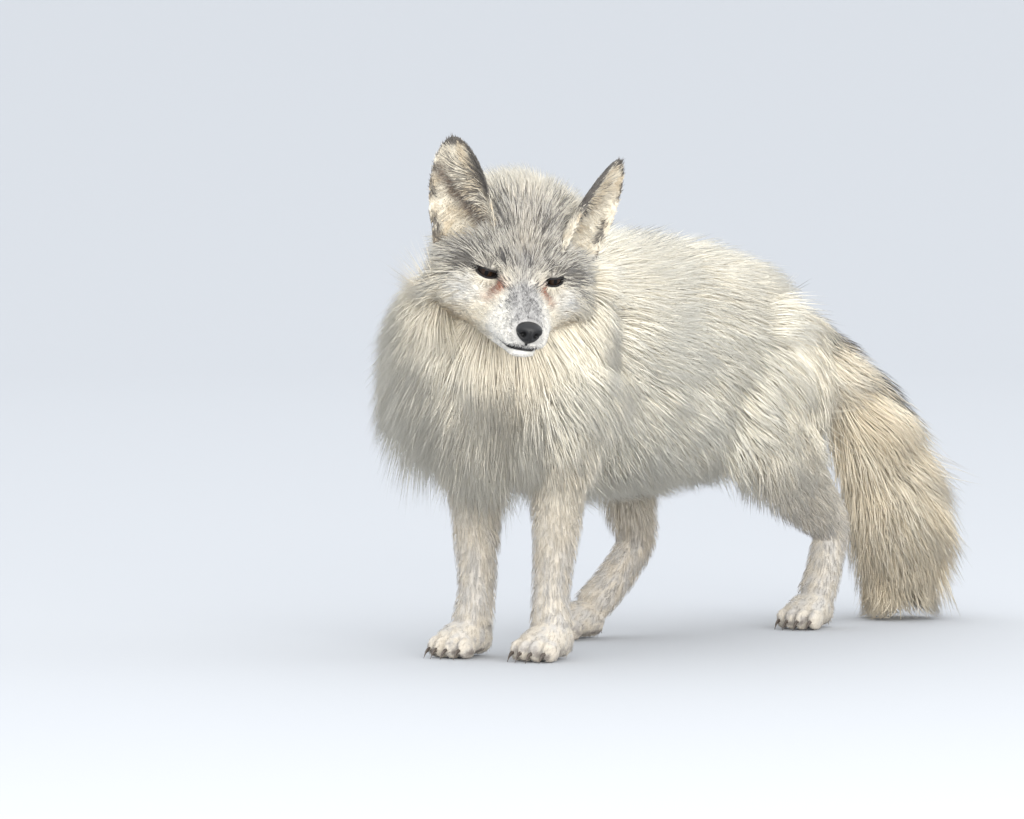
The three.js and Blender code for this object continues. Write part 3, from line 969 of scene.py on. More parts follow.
def markings(here):
    # Shares of each marking at each point, 0 to 1: sums and products of S-curves over place and facing, with
    # bells round the face's spots and streaks, broken up by clouds.
    p, h = here.p, here.h
    (x, y, z), (across, back, up), (_, facingBack, facingUp) = p.T, h.T, here.n.T
    mark = {name: np.zeros(len(p)) for name in ("ticked", "dark", "tan", "white", "rust", "grey", "brown")}

    def give(*names, **shares):
        for key, value in shares.items():
            put(mark[key], value, here, *names)

    patchy, fine = cloud(p, markSpread["patch"], 1), cloud(p, markSpread["speck"], 2)
    # trunk and neck: a thin stripe down the back, tan shading low on the sides, and more tan high up as
    # painted shade that darkens the top against the light from above
    ridge = bell(x, markSpread["ridge"]) * smooth(0.6, 0.9, facingUp)
    ridge = ridge * smooth(20, 60, y) * smooth(260, 190, y)
    rump = smooth(395, 425, y) * smooth(0.1, 0.5, facingBack * 0.6 + facingUp * 0.8)
    ticked = np.maximum(ridge, 0.6 * rump) * smooth(0.2, 0.55, patchy) * 0.95
    # tan round the throat: partly its own colour, partly painted shade beneath the head
    throatTanAndShade = bell(lengthOf(h - (0, -5, -62)), markSpread["throatTanAndShade"])
    low = smooth(240, 150, z)
    tan = 0.12 * low + 0.22 * smooth(300, 420, y) + 0.2 * (patchy - 0.4) + 0.45 * throatTanAndShade
    # the tan above 290 mm is painted shade on the top of the body
    give("trunk", "neck", ticked=ticked, tan=tan + 0.14 * smooth(290, 350, z))
    # tail: tanner to its end, a dark patch on top of its root
    saddle = smooth(0.35, 0.75, facingBack * 0.75 + facingUp * 0.65) * smooth(0.52, 0.34, here.along)
    tan = 0.42 + 0.28 * here.along + 0.6 * (cloud(p, 12, 5) - 0.5)
    give("tail", tan=tan, ticked=saddle * smooth(0.15, 0.4, patchy), dark=saddle * 0.5)
    # legs: greyer and tanner than the body and more so towards the floor, partly their own colour and partly
    # painted shade that dims them under the low front lights; brown between the toes
    deep = smooth(240, 60, z)
    tan = 0.2 + 0.6 * deep + 0.3 * (patchy - 0.5) + markSpread["hindTan"] * deep * isBody(here, "hindRight")
    brown = footShare(here) * smooth(20, 4, z) * smooth(0.45, 0.8, fine) * 0.8
    give(*legs, tan=tan, grey=deep * (0.62 + 0.35 * smooth(0.3, 0.8, fine)), brown=brown)
    # head: grey and ticked over the brow and beside it, with specks on the muzzle; the grey on top of the
    # snout is partly its own and partly painted shade, and the even grey over the head, more on its top, is
    # painted shade that dims the face
    top = smooth(-8, 10, up + 0.25 * back)
    brow = smooth(-30, -8, back) * smooth(40, 16, back) * top
    fan = bell(np.abs(across) - 14 - 0.25 * back, 11) * smooth(-14, 6, back) * smooth(48, 28, back)
    bridge = bell(across, 11) * smooth(-6, -16, back) * smooth(-26, -18, up)
    ticked = 0.2 * brow + 0.42 * fan * top * smooth(0.3, 0.6, cloud(p, 9, 7))
    ticked = ticked + streak(h, "stripe") + streak(h, "temple") + 0.30 * bridge
    for ring, a, b, reach in roundEyes(h, 3, 1.5):  # darker hair along the upper lid
        ticked = ticked + 0.75 * bell(ring - 1.05, 0.28) * smooth(-3, 1.5, b + 0.15 * a) * (reach > -6)
    specks = smooth(-14, -26, back) * smooth(-40, -26, up) * smooth(-78, -66, back)
    dark = 0.36 * specks * smooth(0.4, 0.6, cloud(p, 5, 4)) * smooth(24, 14, np.abs(across))
    face = mirrored(h)
    dark = dark + 0.8 * spot(face, (17, -9, 13), (5.5, 6, 6)) + 0.9 * spot(h, (-27, 42, 47), (5, 6, 6))
    dark = dark + streak(h, "outerCorner") + streak(h, "innerCorner")
    white = spot(face, (40, 0, -19), (16, 15, 12)) + smooth(-20, -40, back) * 0.8
    white = white + spot(face, (0, -50, -52), (30, 30, 12))
    snout = smooth(-18, -34, back) * smooth(-44, -34, up)
    tan = 0.9 * spot(face, (32, 20, -46), (20, 28, 18)) + 0.35 * bell(across, 12) * brow + 0.26
    # the 0.7 on the snout's top is partly its own grey and partly painted shade; the even 0.08 and the 0.12
    # on the top are painted shade that dims the face under the front lights
    grey = 0.45 * bridge + 0.35 * brow + 0.7 * snout * smooth(20, 10, np.abs(across)) + 0.08 + 0.12 * top
    give("head", "jaw", ticked=ticked, dark=dark, rust=streak(h, "tear"), white=white, tan=tan, grey=grey)
    # ears: dark rims towards the tip, mottled backs, a dark hollow
    v, left = here.ear[:, 0], here.ear[:, 3]
    edge, fromHollow = earBands(here)
    tip = smooth(0.84, 0.93, v)
    rim = smooth(-0.5, -0.8, edge) * smooth(0.3, 0.5, v)
    inner = bell(v - 0.38, 0.12) * bell(edge + 0.4, 0.26) * (left > 0)
    mottle = smooth(0.48, 0.62, cloud(p, 9, 11))
    outerRim = smooth(0.62, 0.85, edge) * smooth(0.48, 0.56, cloud(p, 7, 12))
    facing = earFacing(here)
    behind, front = smooth(0.1, -0.2, facing), smooth(0.2, 0.5, facing)
    hollow = front * bell(fromHollow, 0.3) * smooth(0.8, 0.66, v) * smooth(0.05, 0.15, v)
    combed = front * smooth(-0.1, -0.35, fromHollow) * smooth(0.9, 0.7, v)
    dark = np.maximum(tip, rim) + 0.9 * inner + behind * mottle * 0.9 * smooth(0.15, 0.4, v) + outerRim * 0.8
    give(
        "earLeft",
        "earRight",
        dark=np.clip(dark, 0, 1),
        brown=hollow * np.where(left < 0, 1.0, 0.3),
        grey=v * 0 + 0.12,
        tan=0.35 + 0.5 * smooth(0.5, 0.7, cloud(p, 8, 14)),
        ticked=behind * 0.3 + combed * np.where(left < 0, 0.5, 0.2),
    )
    return {name: np.clip(value, 0, 1) for name, value in mark.items()}


earOpening = {left: headTurn @ earAxes(left)[3] for left in (1, -1)}


def colourOf(mark, draw):
    # base and tip colours from the markings. A tuft in a ticked place is dark or pale by its own draw, so
    # the tone comes from the mix, while the skin takes the mean
    count = len(mark["dark"])
    tip = np.tile(np.array(tones["cream"]), (count, 1))
    root = np.tile(np.array(tones["creamUnderfurAndShade"]), (count, 1))
    for name in ("tan", "white", "grey", "rust", "brown"):
        tip = mixed(tip, tones[name], mark[name])
        root = mixed(root, tones[name], mark[name] * (0.8 if name != "white" else 0.5))
    if draw is not None:  # pale hairs lie over the brown of the ear
        streaky = smooth(0.9, 0.8, draw[:, 1])
        tip = mixed(tip, tones["cream"], mark["brown"] * (1 - streaky) * 0.6)
    black = mark["dark"] if draw is None else (draw[:, 0] < mark["dark"]) * 0.96
    ticks = mark["ticked"] if draw is None else smooth(0.0, -0.08, draw[:, 1] - mark["ticked"])
    for share in (ticks * 0.85, black):
        tip = mixed(tip, tones["dark"], share)
        root = mixed(root, tones["dark"], share * 0.8)
    return root, tip


def tuftFaces(rings):
    # a three-sided spike: quads between rings as pairs of triangles, a point at the tip, a lid at the root
    faces = []
    for ring in range(rings - 1):
        for k in range(3):
            a, b = ring * 3 + k, ring * 3 + (k + 1) % 3
            faces += [(a, b, b + 3), (a, b + 3, a + 3)]
    last = (rings - 1) * 3
    faces += [(last + k, last + (k + 1) % 3, rings * 3) for k in range(3)]
    return np.array(faces + [(2, 1, 0)])


bakeMap = {"patch": 0.003, "spread": 0.99}  # a tuft's place on its baking map, and how much of it roots cover


def growTufts(name, roots, style, seed):
    # A tuft runs from its root along the lie of the coat by run*s while it rises by (depth - fall)*s with an
    # arch of s*(1 - s), where fall is how far the skin itself curves away under its tip. It sags by its
    # length times s squared, is drawn towards its lock's centre by s^1.3 and its wisp's by s^1.6, and waves
    # sideways. Its width falls to nothing at the tip.
    rng = np.random.default_rng(seed)
    count = len(roots.p)
    draw = rng.random((count, 6))
    centre, mood = lockCentres(roots.p, style["lock"], seed)
    wisp, small = lockCentres(roots.p, style["lock"] * 0.36, seed + 1)
    n = unit(roots.n)
    sweep = cloud(roots.p, style["lock"] * 3, seed) - 0.5
    turn = (mood[:, 0] - 0.5) * style["stray"] + (draw[:, 2] - 0.5) * style["loose"]
    turn = turn + (small[:, 0] - 0.5) * style["stray"] * 0.6 + sweep * style["sweep"]
    flow = unit(laidOn(n, roots.flow))
    side = np.cross(flow, n)
    flow = unit(flow * np.cos(turn)[:, None] + side * np.sin(turn)[:, None])
    side = np.cross(flow, n)
    length = roots.length * (0.8 + 0.3 * mood[:, 1]) * (0.75 + 0.35 * draw[:, 3])
    lift = style["lift"] * (0.85 + 0.2 * mood[:, 2]) * (0.82 + 0.26 * draw[:, 4])
    wild = draw[:, 0] < style["wild"]
    lift, length = np.where(wild, lift * 1.12, lift), np.where(wild, length * 1.08, length)
    depth = np.minimum(roots.depth * lift, length * 0.92)
    run = np.sqrt(np.maximum(length**2 - depth**2, (0.3 * length) ** 2))
    around = 1 - dot(flow, roots.ahead) ** 2
    fall = np.minimum(around / np.maximum(roots.radius, 12) * run**2 / 2 * style["hug"], 0.5 * run)
    rings = style["rings"]
    s = np.tile(np.arange(rings + 1) / rings, (count, 1))
    s[:, 1:rings] += (rng.random((count, 1)) - 0.5) * 0.5 / rings
    s = s[:, :, None]
    run, depth, length, fall = (x[:, None, None] for x in (run, depth, length, fall))
    axis = roots.p[:, None] - n[:, None] * np.minimum(style["sink"], 0.12 * length) + flow[:, None] * run * s
    axis = axis + n[:, None] * ((depth - fall) * s + style["arch"] * depth * s * (1 - s))
    axis = axis - np.array([0, 0, 1.0]) * style["sag"] * length * s**2
    for heart, power, share in ((centre, 1.3, style["clump"]), (wisp, 1.6, style["gather"])):
        axis = axis + laidOn(n, heart - roots.p)[:, None] * share * s**power
    phase = (mood[:, 3] * 2 * np.pi + draw[:, 5] * 1.2)[:, None, None]
    wave = np.sin(s * style["waves"] * 2 * np.pi + phase) - np.sin(phase)
    axis = axis + side[:, None] * wave * s * length * style["wave"]
    axis[..., 2] = np.maximum(axis[..., 2], 0.8)
    over = np.maximum(style["farthest"] - axis[..., 0], 0)  # tips past the far side are pressed flatter
    axis[..., 0] += over - style["past"] * np.tanh(over / style["past"])
    width = style["width"] * (0.7 + 0.6 * rng.random(count)) * roots.size * np.where(wild, 0.6, 1)
    taper = (1 - s[:, :rings, 0] ** 1.6) * 0.96 + 0.04
    wide = (width[:, None] * taper)[..., None]
    tilt = (rng.random(count) - 0.5)[:, None, None] * 1.2
    flat = side[:, None] * np.cos(tilt) + n[:, None] * np.sin(tilt)
    ridge = n[:, None] * np.cos(tilt) - side[:, None] * np.sin(tilt)
    middle = axis[:, :rings]
    corners = [middle + flat * wide / 2, middle + ridge * wide * 0.4, middle - flat * wide / 2]
    body = np.stack(corners, 2).reshape(count, rings * 3, 3)
    points = np.concatenate([body, axis[:, rings:]], 1)
    points[..., 2] = np.maximum(points[..., 2], 0.4)
    each = rings * 3 + 1
    faces = tuftFaces(rings)[None] + (np.arange(count) * each)[:, None, None]
    thing = meshFrom(name, points.reshape(-1, 3), faces.reshape(-1, 3))
    # colours run from root to tip, the darker roots partly the underfur's own tan and partly painted shade
    # deep in the coat, and each tuft has its own tone
    root, tip = colourOf(roots.mark, rng.random((count, 2)))
    shade = (0.92 + 0.12 * rng.random(count) + style["vary"] * (mood[:, 4] - 0.5))[:, None]
    share = np.repeat(np.arange(rings) / rings, 3).tolist() + [1.0]
    share = np.array(share)[None, :, None] ** 0.8
    tone = (root[:, None] * (1 - share) + tip[:, None] * share) * shade[:, None]
    paint(thing, np.clip(tone, 0, 1).reshape(-1, 3))
    # each tuft's patch sits where its root is on the unwrapped skin
    patch, corner = bakeMap["patch"], roots.map * bakeMap["spread"]
    u = corner[:, :1] + np.tile([0, 0.5, 1], rings) * patch + patch
    u = np.concatenate([u, corner[:, :1] + patch + patch / 2], 1)
    v = corner[:, 1:] + share[:, :, 0] * patch + patch
    spots = np.stack([u, np.broadcast_to(v, u.shape)], -1).reshape(-1, 2)
    layer = thing.data.uv_layers.new(name="OFBake")
    layer.data.foreach_set("uv", spots[faces.ravel()].astype(np.float32).ravel())
    print(name + ":", count, "tufts,", len(thing.data.polygons), "triangles")
    return thing


def paint(thing, tone):
    # a linear colour at each corner, which the finishes read
    layer = thing.data.color_attributes.new("tone", "FLOAT_COLOR", "POINT")
    rgba = np.concatenate([tone, np.ones((len(tone), 1))], 1).astype(np.float32)
    layer.data.foreach_set("color", rgba.ravel())


def scatterRoots(skinData, chosen, weight, count, rng):
    # roots spread over the chosen triangles in proportion to area times weight, evenly along their list
    points, tris, normals, fields = skinData
    corner = points[tris[chosen]]
    area = lengthOf(np.cross(corner[:, 1] - corner[:, 0], corner[:, 2] - corner[:, 0]))
    total = np.cumsum(area * weight)
    at = (np.arange(count) + rng.random(count)) / count * total[-1]
    tri = tris[chosen][np.searchsorted(total, at).clip(0, len(chosen) - 1)]
    a, b = np.sqrt(rng.random(count)), rng.random(count)
    share = np.stack([1 - a, a * (1 - b), a * b], 1)[..., None]
    roots = readPlaces((points[tri] * share).sum(1), (normals[tri] * share).sum(1))
    roots.flow = (fields["flow"][tri] * share).sum(1)
    roots.ahead = unit((fields["ahead"][tri] * share).sum(1))
    for name in ("depth", "length", "radius"):
        setattr(roots, name, (fields[name][tri] * share[..., 0]).sum(1))
    roots.mark = markings(roots)
    roots.map = np.stack([roots.round, roots.along], 1)
    roots.size = np.ones(count)
    return roots


def keepOnly(roots, keep):
    # the roots that pass, with all that is known of them
    for name, value in vars(roots).items():
        if name == "mark":
            roots.mark = {key: share[keep] for key, share in value.items()}
        else:
            setattr(roots, name, value[keep])
    return roots


def lipLine(h):
    # distance above or below the closed mouth, which dips a little behind its front and rises to its corners
    edge = -44.0 - 2.2 * smooth(-68, -54, h[:, 1]) + 5 * smooth(-40, -14, h[:, 1])
    away = np.abs(h[:, 2] - edge) + 30 * (h[:, 1] > -16) + 30 * (np.abs(h[:, 0]) > 24)
    return away


cornerLines = ((38, 5, 1), (45, 13, 1)), ((20, -7, -4), (15, -15, -9))  # from and to, outer and inner corner


def cornerLine(h):
    # distance to the dark lines that run on from the corners of the eyes, and that thin out to their ends
    gaps = [lineGap(mirrored(h), *line) for line in cornerLines]
    return np.minimum(*(gap + 1.2 * u for gap, u in gaps))


noseForm = {
    "middle": (0, -75, -26.6),
    "radii": (11.6, 9.4, 10.8),
    "nostril": (5.8, -83, -28.5),
    "nostrilSize": 2.5,
    "nostrilDepth": 5,
    "slitDepth": 1.6,
    "grooveDepth": 0.9,
    "lobe": ((0, -72.6, -37), (1.5, 4.2, 3.6)),  # middle and radii
    "bare": ((0, -76, -26), (11.5, 10, 10)),  # the egg round it on which no hair grows
    "voxel": 0.4,
    "smoothing": 3,
}


def bareShare(here):
    # 1 where no hair grows: between the lids and just round them, on the nose and along the lips
    h = here.h
    bare = np.zeros(len(h))
    for r, _, _, reach in roundEyes(h, 1.4, 0.3):
        bare = np.maximum(bare, (r < 1) & (reach > -2))
    middle, radii = noseForm["bare"]
    nose = lengthOf((h - middle) / radii) < 1
    lip = lipLine(h) < 1.8 + 1.2 * smooth(16, 8, np.abs(h[:, 0]))
    return np.maximum(bare, nose | lip | (cornerLine(h) < 2.2))


coatSame = {
    "pieces": 1,
    "rings": 2,  # rings in a tuft, under its tip
    "loose": 0.3,  # radians that a tuft strays from its lock's lie
    "hug": 0.9,  # how closely a tuft follows the skin's own curve
    "arch": 0.6,
    "sink": 1.0,  # mm that its root is below the skin
    "sag": 0.05,
    "clump": 0.32,  # how far tips draw together in a lock, and in a wisp
    "gather": 0.35,
    "sweep": 0.5,  # radians that the lie wanders over a few locks
    "wild": 0.1,  # share of finer tufts that stand out
    "waves": 0.9,
    "wave": 0.04,
    "farthest": -106,  # mm to the right where tips begin to be pressed in
    "past": 13,  # the most that they reach past it
    "vary": 0.12,  # how much one lock's tone differs from the next
}
coat = {
    # tufts in each piece, their width in mm, size of a lock in mm, radians that a lock strays, how high the
    # tips stand as a share of the coat's depth, and what else a piece has of its own
    "trunk": dict(tufts=11600, width=1.25, lock=26, stray=0.4, lift=1.05, pieces=3),
    "neck": dict(tufts=16600, width=1.1, lock=22, stray=0.4, lift=1.0, pieces=2, loose=0.28),
    "cheeks": dict(tufts=12500, width=1.0, lock=15, stray=0.32, lift=1.05),
    "face": dict(tufts=18500, width=0.74, lock=7, stray=0.3, lift=0.9, hug=0.45),
    "ears": dict(tufts=7000, width=0.8, lock=7, stray=0.3, lift=0.6, hug=0.0, arch=1.0, clump=0.2),
    "tail": dict(
        tufts=12400, width=1.6, lock=30, stray=0.7, lift=1.1, rings=3, loose=0.35,
        clump=0.5, gather=0.5, wave=0.06, waves=1.2, vary=0.35,
    ),
    "haunches": dict(tufts=10500, width=1.15, lock=20, stray=0.36, lift=1.0),
    "legs": dict(tufts=13500, width=0.85, lock=6, stray=0.14, lift=0.7, loose=0.22),
}


blendRounds = {"flow": (12, 45), "size": (10, 40), "radius": 6}  # on the head and ears, and elsewhere


def makeCoat(skin):
    # Flow, depth and length are read on the skin and blended over its edges, the skin is painted, and
    # each piece of the coat grows on the triangles of its own bodies.
    points, tris, normals = meshArrays(skin.data)
    here = readPlaces(points, normals)
    flow = layOfCoat(here)
    isFine = isBody(here, "head", "jaw", "earLeft", "earRight")
    size = np.stack([coatDepth(here), hairLength(here)], 1)
    flow, size = (
        np.where(isFine[:, None], *(blended(values, tris, rounds) for rounds in blendRounds[name]))
        for name, values in (("flow", unit(laidOn(normals, flow))), ("size", size))
    )
    flow = unit(laidOn(normals, unit(flow)))
    radius = blended(here.radius, tris, blendRounds["radius"])
    fields = {"flow": flow, "depth": size[:, 0], "length": size[:, 1], "radius": radius, "ahead": here.ahead}
    mark = markings(here)
    root, tip = colourOf(mark, None)
    # the skin between the hairs takes a mix of root and tip colours, so it carries some of the roots' painted
    # shade
    tone = mixed(root, tip, np.where(isFine, 0.55, 0.35))
    dark = np.zeros(len(points))
    for r, _, _, reach in roundEyes(here.h, 2.6, 1.2):  # the lids' bare edges
        dark = np.maximum(dark, smooth(1.12, 0.92, r) * (reach > -4))
    lip = smooth(3.0, 2.0, lipLine(here.h) - 1.4 * smooth(16, 8, np.abs(here.h[:, 0])))
    lines = np.maximum(lip, smooth(3.2, 2.2, cornerLine(here.h))) * isBody(here, "head", "jaw")
    dark = np.maximum(dark, lines)
    paint(skin, mixed(tone, tones["skinDark"], np.clip(dark, 0, 1)))
    # which piece of the coat each triangle belongs to
    body = here.body[tris[:, 0]]
    along = here.along[tris[:, 0]]
    h = here.h[tris[:, 0]]
    number = {name: k for k, name in enumerate(bodyNames)}
    isHead = np.isin(body, [number["head"], number["jaw"]])
    isLeg = np.isin(body, [number[name] for name in legs])
    isHind = np.isin(body, [number["hindLeft"], number["hindRight"]])
    upper = np.where(isHind, along < 0.4, along < 0.42)
    inFace = h[:, 1] < 24
    parts = {
        "trunk": body == number["trunk"],
        "neck": body == number["neck"],
        "cheeks": isHead & ~inFace,
        "face": isHead & inFace,
        "ears": body >= number["earLeft"],
        "tail": body == number["tail"],
        "haunches": isLeg & upper,
        "legs": isLeg & ~upper,
    }
    pieces = []
    for order, (name, style) in enumerate(coat.items()):
        style = {**coatSame, **style}
        chosen = np.nonzero(parts[name])[0]
        shares = np.quantile(along[chosen], np.linspace(0, 1, style["pieces"] + 1))
        for k in range(style["pieces"]):
            inside = (along[chosen] >= shares[k]) & (along[chosen] <= shares[k + 1] + (1e-6 if k else 0))
            own = chosen[inside]
            rng = np.random.default_rng(40 + order * 10 + k)
            weight = np.ones(len(own))
            if name == "face":
                weight = 1 + 1.6 * smooth(0, -40, h[own][:, 1])
            data = (points, tris, normals, fields)
            roots = scatterRoots(data, own, weight, style["tufts"], rng)
            roots = keepOnly(roots, bareShare(roots) < 0.5)
            if name == "face":
                roots.size = 0.65 + 0.5 * smooth(-60, 10, roots.h[:, 1])
            low, high = roots.map.min(0), roots.map.max(0)
            roots.map = (roots.map - low) / (high - low)
            label = "coat_" + name + ("_" + str(k + 1) if style["pieces"] > 1 else "")
            pieces.append(growTufts(label, roots, style, 100 + order * 10 + k))
    return pieces


def makeEye(name, left):
    # a ball whose front bulges over the iris; "sight" counts outward from the middle of the pupil
    centre, out, side, up = eyeAxes(left)
    bend = np.linspace(0.02, np.pi - 0.02, 70)[:, None]
    angle = np.linspace(0, 2 * np.pi, 72, endpoint=False)[None]
    r = eyeSet["radius"] * (1 + eyeSet["bulge"] * bell(bend, 0.55))
    x, y = r * np.sin(bend) * np.cos(angle), r * np.sin(bend) * np.sin(angle)
    p = centre + (r * np.cos(bend) + 0 * angle)[..., None] * out + x[..., None] * side + y[..., None] * up
    points, faces = closedGrid(fromHead(p))
    thing = meshFrom(name, points, faces)
    q = intoHead(points) - centre
    a, b, front = q @ side, q @ up, q @ out > 0
    pupil = np.hypot(a / eyeSet["pupil"][0], b / eyeSet["pupil"][1])
    iris = np.hypot(a, b) / eyeSet["iris"]
    for key, value in (("pupil", pupil), ("iris", iris)):
        layer = thing.data.attributes.new(key, "FLOAT", "POINT")
        layer.data.foreach_set("value", np.where(front, value, 9).astype(np.float32))
    return thing


def makeNose():
    # An oval pad, flatter on top, with a groove down its middle. Each nostril presses in as a bell and runs
    # on outward and back as a slit; a narrow lobe joins the pad to the lip.
    pad = eggGrid(noseForm["middle"], noseForm["radii"], 90, 120)
    flat = pad.reshape(-1, 3)
    rise = flat[:, 2] - noseForm["middle"][2]
    flat[:, 0] *= 1 + 0.012 * rise - 0.0016 * rise**2
    flat[:, 2] -= 0.04 * np.maximum(rise, 0) ** 2 * 0.5
    for left in (1, -1):
        at = np.array(noseForm["nostril"]) * (left, 1, 1)
        hole = bell(lengthOf((flat - at) / (1, 2, 1.15)), noseForm["nostrilSize"])
        slit = bell(flat[:, 2] - at[2] - 0.2 * np.abs(flat[:, 0] - at[0]) + 1.6, 1.0)
        slit = slit * smooth(4.5, 6.5, flat[:, 0] * left) * smooth(-72, -78, flat[:, 1])
        press = noseForm["nostrilDepth"] * hole + noseForm["slitDepth"] * slit
        flat += press[:, None] * np.array([-0.25 * left, 1, 0.12])
    groove = bell(flat[:, 0], 0.7) * smooth(-22, -26, flat[:, 2]) * (flat[:, 1] < -75)
    flat[:, 1] += noseForm["grooveDepth"] * groove
    lobe = eggGrid(*noseForm["lobe"], 24, 32)
    points, faces = joined([closedGrid(fromHead(flat.reshape(pad.shape))), closedGrid(fromHead(lobe))])
    thing = meshFrom("nose_leather", points, faces)
    welded(thing, noseForm["voxel"], noseForm["smoothing"])
    print("nose:", len(thing.data.polygons), "faces")
    return thing


def makeClaws():
    # each claw is a cone carried along a line that curves down from the front of its toe
    parts = []
    for x, y, heading in paws.values():
        turn = turnAbout("z", heading)
        for k in (-1.5, -0.5, 0.5, 1.5):
            toe = np.array([k * pawShape["toeStep"], -29 + 4.5 * abs(k), 0])
            long = pawShape["clawLength"]
            rows = [
                (0, -9.5, 8.5, 1.7, 2.1, 2.1, 0),
                (0, -9.5 - long * 0.4, 7.6, 1.4, 1.7, 1.7, 0),
                (0, -9.5 - long * 0.75, 5.2, 0.9, 1.1, 1.1, 0),
                (0, -9.5 - long, 1.8, 0.3, 0.3, 0.3, 0),
            ]
            stations = [(r[0] + toe[0], r[1] + toe[1], *r[2:]) for r in rows]
            grid = carried({"stations": stations, "ends": (1, 0.3), "square": 1}, 10, 12)
            parts.append(closedGrid(grid @ turn.T + (x, y, 0)))
    points, faces = joined(parts)
    points[:, 2] = np.maximum(points[:, 2], 0.3)
    return meshFrom("claws", points, faces)


class Finish:
    # a new material, with short ways to add and join its nodes
    def __init__(self, name, rough, **sockets):
        self.material = bpy.data.materials.new(name)
        self.material.use_nodes = True
        self.nodes, self.link = self.material.node_tree.nodes, self.material.node_tree.links.new
        self.sockets = self.nodes["Principled BSDF"].inputs
        for key, value in dict(Roughness=rough, **sockets).items():
            self.sockets[key.replace("_", " ")].default_value = value

    def add(self, kind, **values):
        node = self.nodes.new("ShaderNode" + kind)
        for key, value in values.items():
            node.inputs[key].default_value = value
        return node

    def pattern(self, kind, output, **values):
        # a noise or cell pattern in the object's own space
        node = self.add(kind, **values)
        self.link(self.add("TexCoord").outputs["Object"], node.inputs["Vector"])
        return node.outputs[output]

    def attribute(self, name, output):
        node = self.add("Attribute")
        node.attribute_name = name
        return node.outputs[output]

    def ramp(self, source, *stops):
        node = self.add("ValToRGB")
        while len(node.color_ramp.elements) < len(stops):
            node.color_ramp.elements.new(0.5)
        for element, (place, tone) in zip(node.color_ramp.elements, stops):
            element.position, element.color = place, (*np.broadcast_to(tone, 3).tolist(), 1)
        self.link(source, node.inputs["Fac"])
        return node.outputs["Color"]

    def times(self, a, b):
        node = self.add("Mix")
        node.data_type, node.blend_type = "RGBA", "MULTIPLY"
        node.inputs[0].default_value = 1
        self.link(a, node.inputs[6])
        self.link(b, node.inputs[7])
        return node.outputs[2]

    def done(self, tone, height=None, strength=0.0, distance=0.0):
        # base colour, and relief where a height is given
        self.link(tone, self.sockets["Base Color"])
        if height:
            node = self.add("Bump", Strength=strength, Distance=distance)
            self.link(height, node.inputs["Height"])
            self.link(node.outputs["Normal"], self.sockets["Normal"])
        return self.material


finishes = {  # pattern scales per metre, and the tones between which each pattern runs
    "hair": {"scale": 340, "dark": 0.92},
    "skin": {"scale": 900, "dark": 0.8, "relief": (0.5, 0.0006)},
    "nose": {"scale": 1500, "tones": ((0.0, (0.009, 0.008, 0.009)), (0.8, 0.004)), "relief": (0.35, -0.0004)},
    "claw": {
        "scale": 500,
        "tones": ((0.3, (0.045, 0.035, 0.028)), (0.7, (0.10, 0.08, 0.065))),
        "relief": (0.3, 0.0003),
    },
    "eye": {
        "scale": 1500,
        "rings": (  # share of the way out, at 0.7 for the iris's rim
            (0.0, (0.032, 0.018, 0.010)),
            (0.5, (0.026, 0.014, 0.008)),
            (0.68, (0.012, 0.008, 0.006)),
            (0.76, (0.008, 0.006, 0.005)),
            (1.0, (0.03, 0.022, 0.02)),
        ),
    },
}


def hairMaterial(name, rough, sheen):
    # each tuft's own colour with fine streaks
    own = finishes["hair"]
    make = Finish(name, rough, Sheen_Weight=sheen, Specular_IOR_Level=0.25)
    streaks = make.pattern("TexNoise", "Fac", Scale=own["scale"], Detail=2)
    grain = make.ramp(streaks, (0.3, own["dark"]), (0.7, 1))
    return make.done(make.times(make.attribute("tone", "Color"), grain))


def skinMaterial():
    # the skin's own colour with fine grain and relief
    own = finishes["skin"]
    make = Finish("fox_skin", 0.75, Specular_IOR_Level=0.25)
    fine = make.pattern("TexNoise", "Fac", Scale=own["scale"], Detail=3)
    grain = make.ramp(fine, (0.3, own["dark"]), (0.7, 1))
    return make.done(make.times(make.attribute("tone", "Color"), grain), fine, *own["relief"])


def eyeMaterial():
    # rings of colour by the distance from the pupil, with fibres, under a wet gloss
    own = finishes["eye"]
    make = Finish("eye_wet", 0.06, IOR=1.38, Specular_IOR_Level=0.35)
    pupil, iris = make.attribute("pupil", "Fac"), make.attribute("iris", "Fac")
    half = make.add("Math")
    half.operation = "MULTIPLY"
    half.inputs[1].default_value = 0.7
    make.link(iris, half.inputs[0])
    tone = make.ramp(half.outputs[0], *own["rings"])
    hole = make.ramp(pupil, (0.86, 0.01), (1.0, 1))
    fibres = make.pattern("TexNoise", "Fac", Scale=own["scale"], Detail=2)
    streaky = make.ramp(fibres, (0.3, 0.6), (0.7, 1))
    return make.done(make.times(make.times(tone, hole), streaky))


def noseMaterial():
    # black leather in fine raised cells
    own = finishes["nose"]
    make = Finish("nose_leather", 0.42, Specular_IOR_Level=0.4)
    cells = make.pattern("TexVoronoi", "Distance", Scale=own["scale"])
    return make.done(make.ramp(cells, *own["tones"]), cells, *own["relief"])


def clawMaterial():
    # dark horn with a fine grain
    own = finishes["claw"]
    make = Finish("claw_horn", 0.4, Specular_IOR_Level=0.4)
    grain = make.pattern("TexNoise", "Fac", Scale=own["scale"], Detail=3)
    return make.done(make.ramp(grain, *own["tones"]), grain, *own["relief"])


def dress(thing, material, slot, *nodes):
    # the piece's finish, its body and the solids that it stands for; the slot argument is not used
    thing.data.materials.clear()
    thing.data.materials.append(material)
    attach(thing, "root")
    if nodes:
        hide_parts(*nodes)


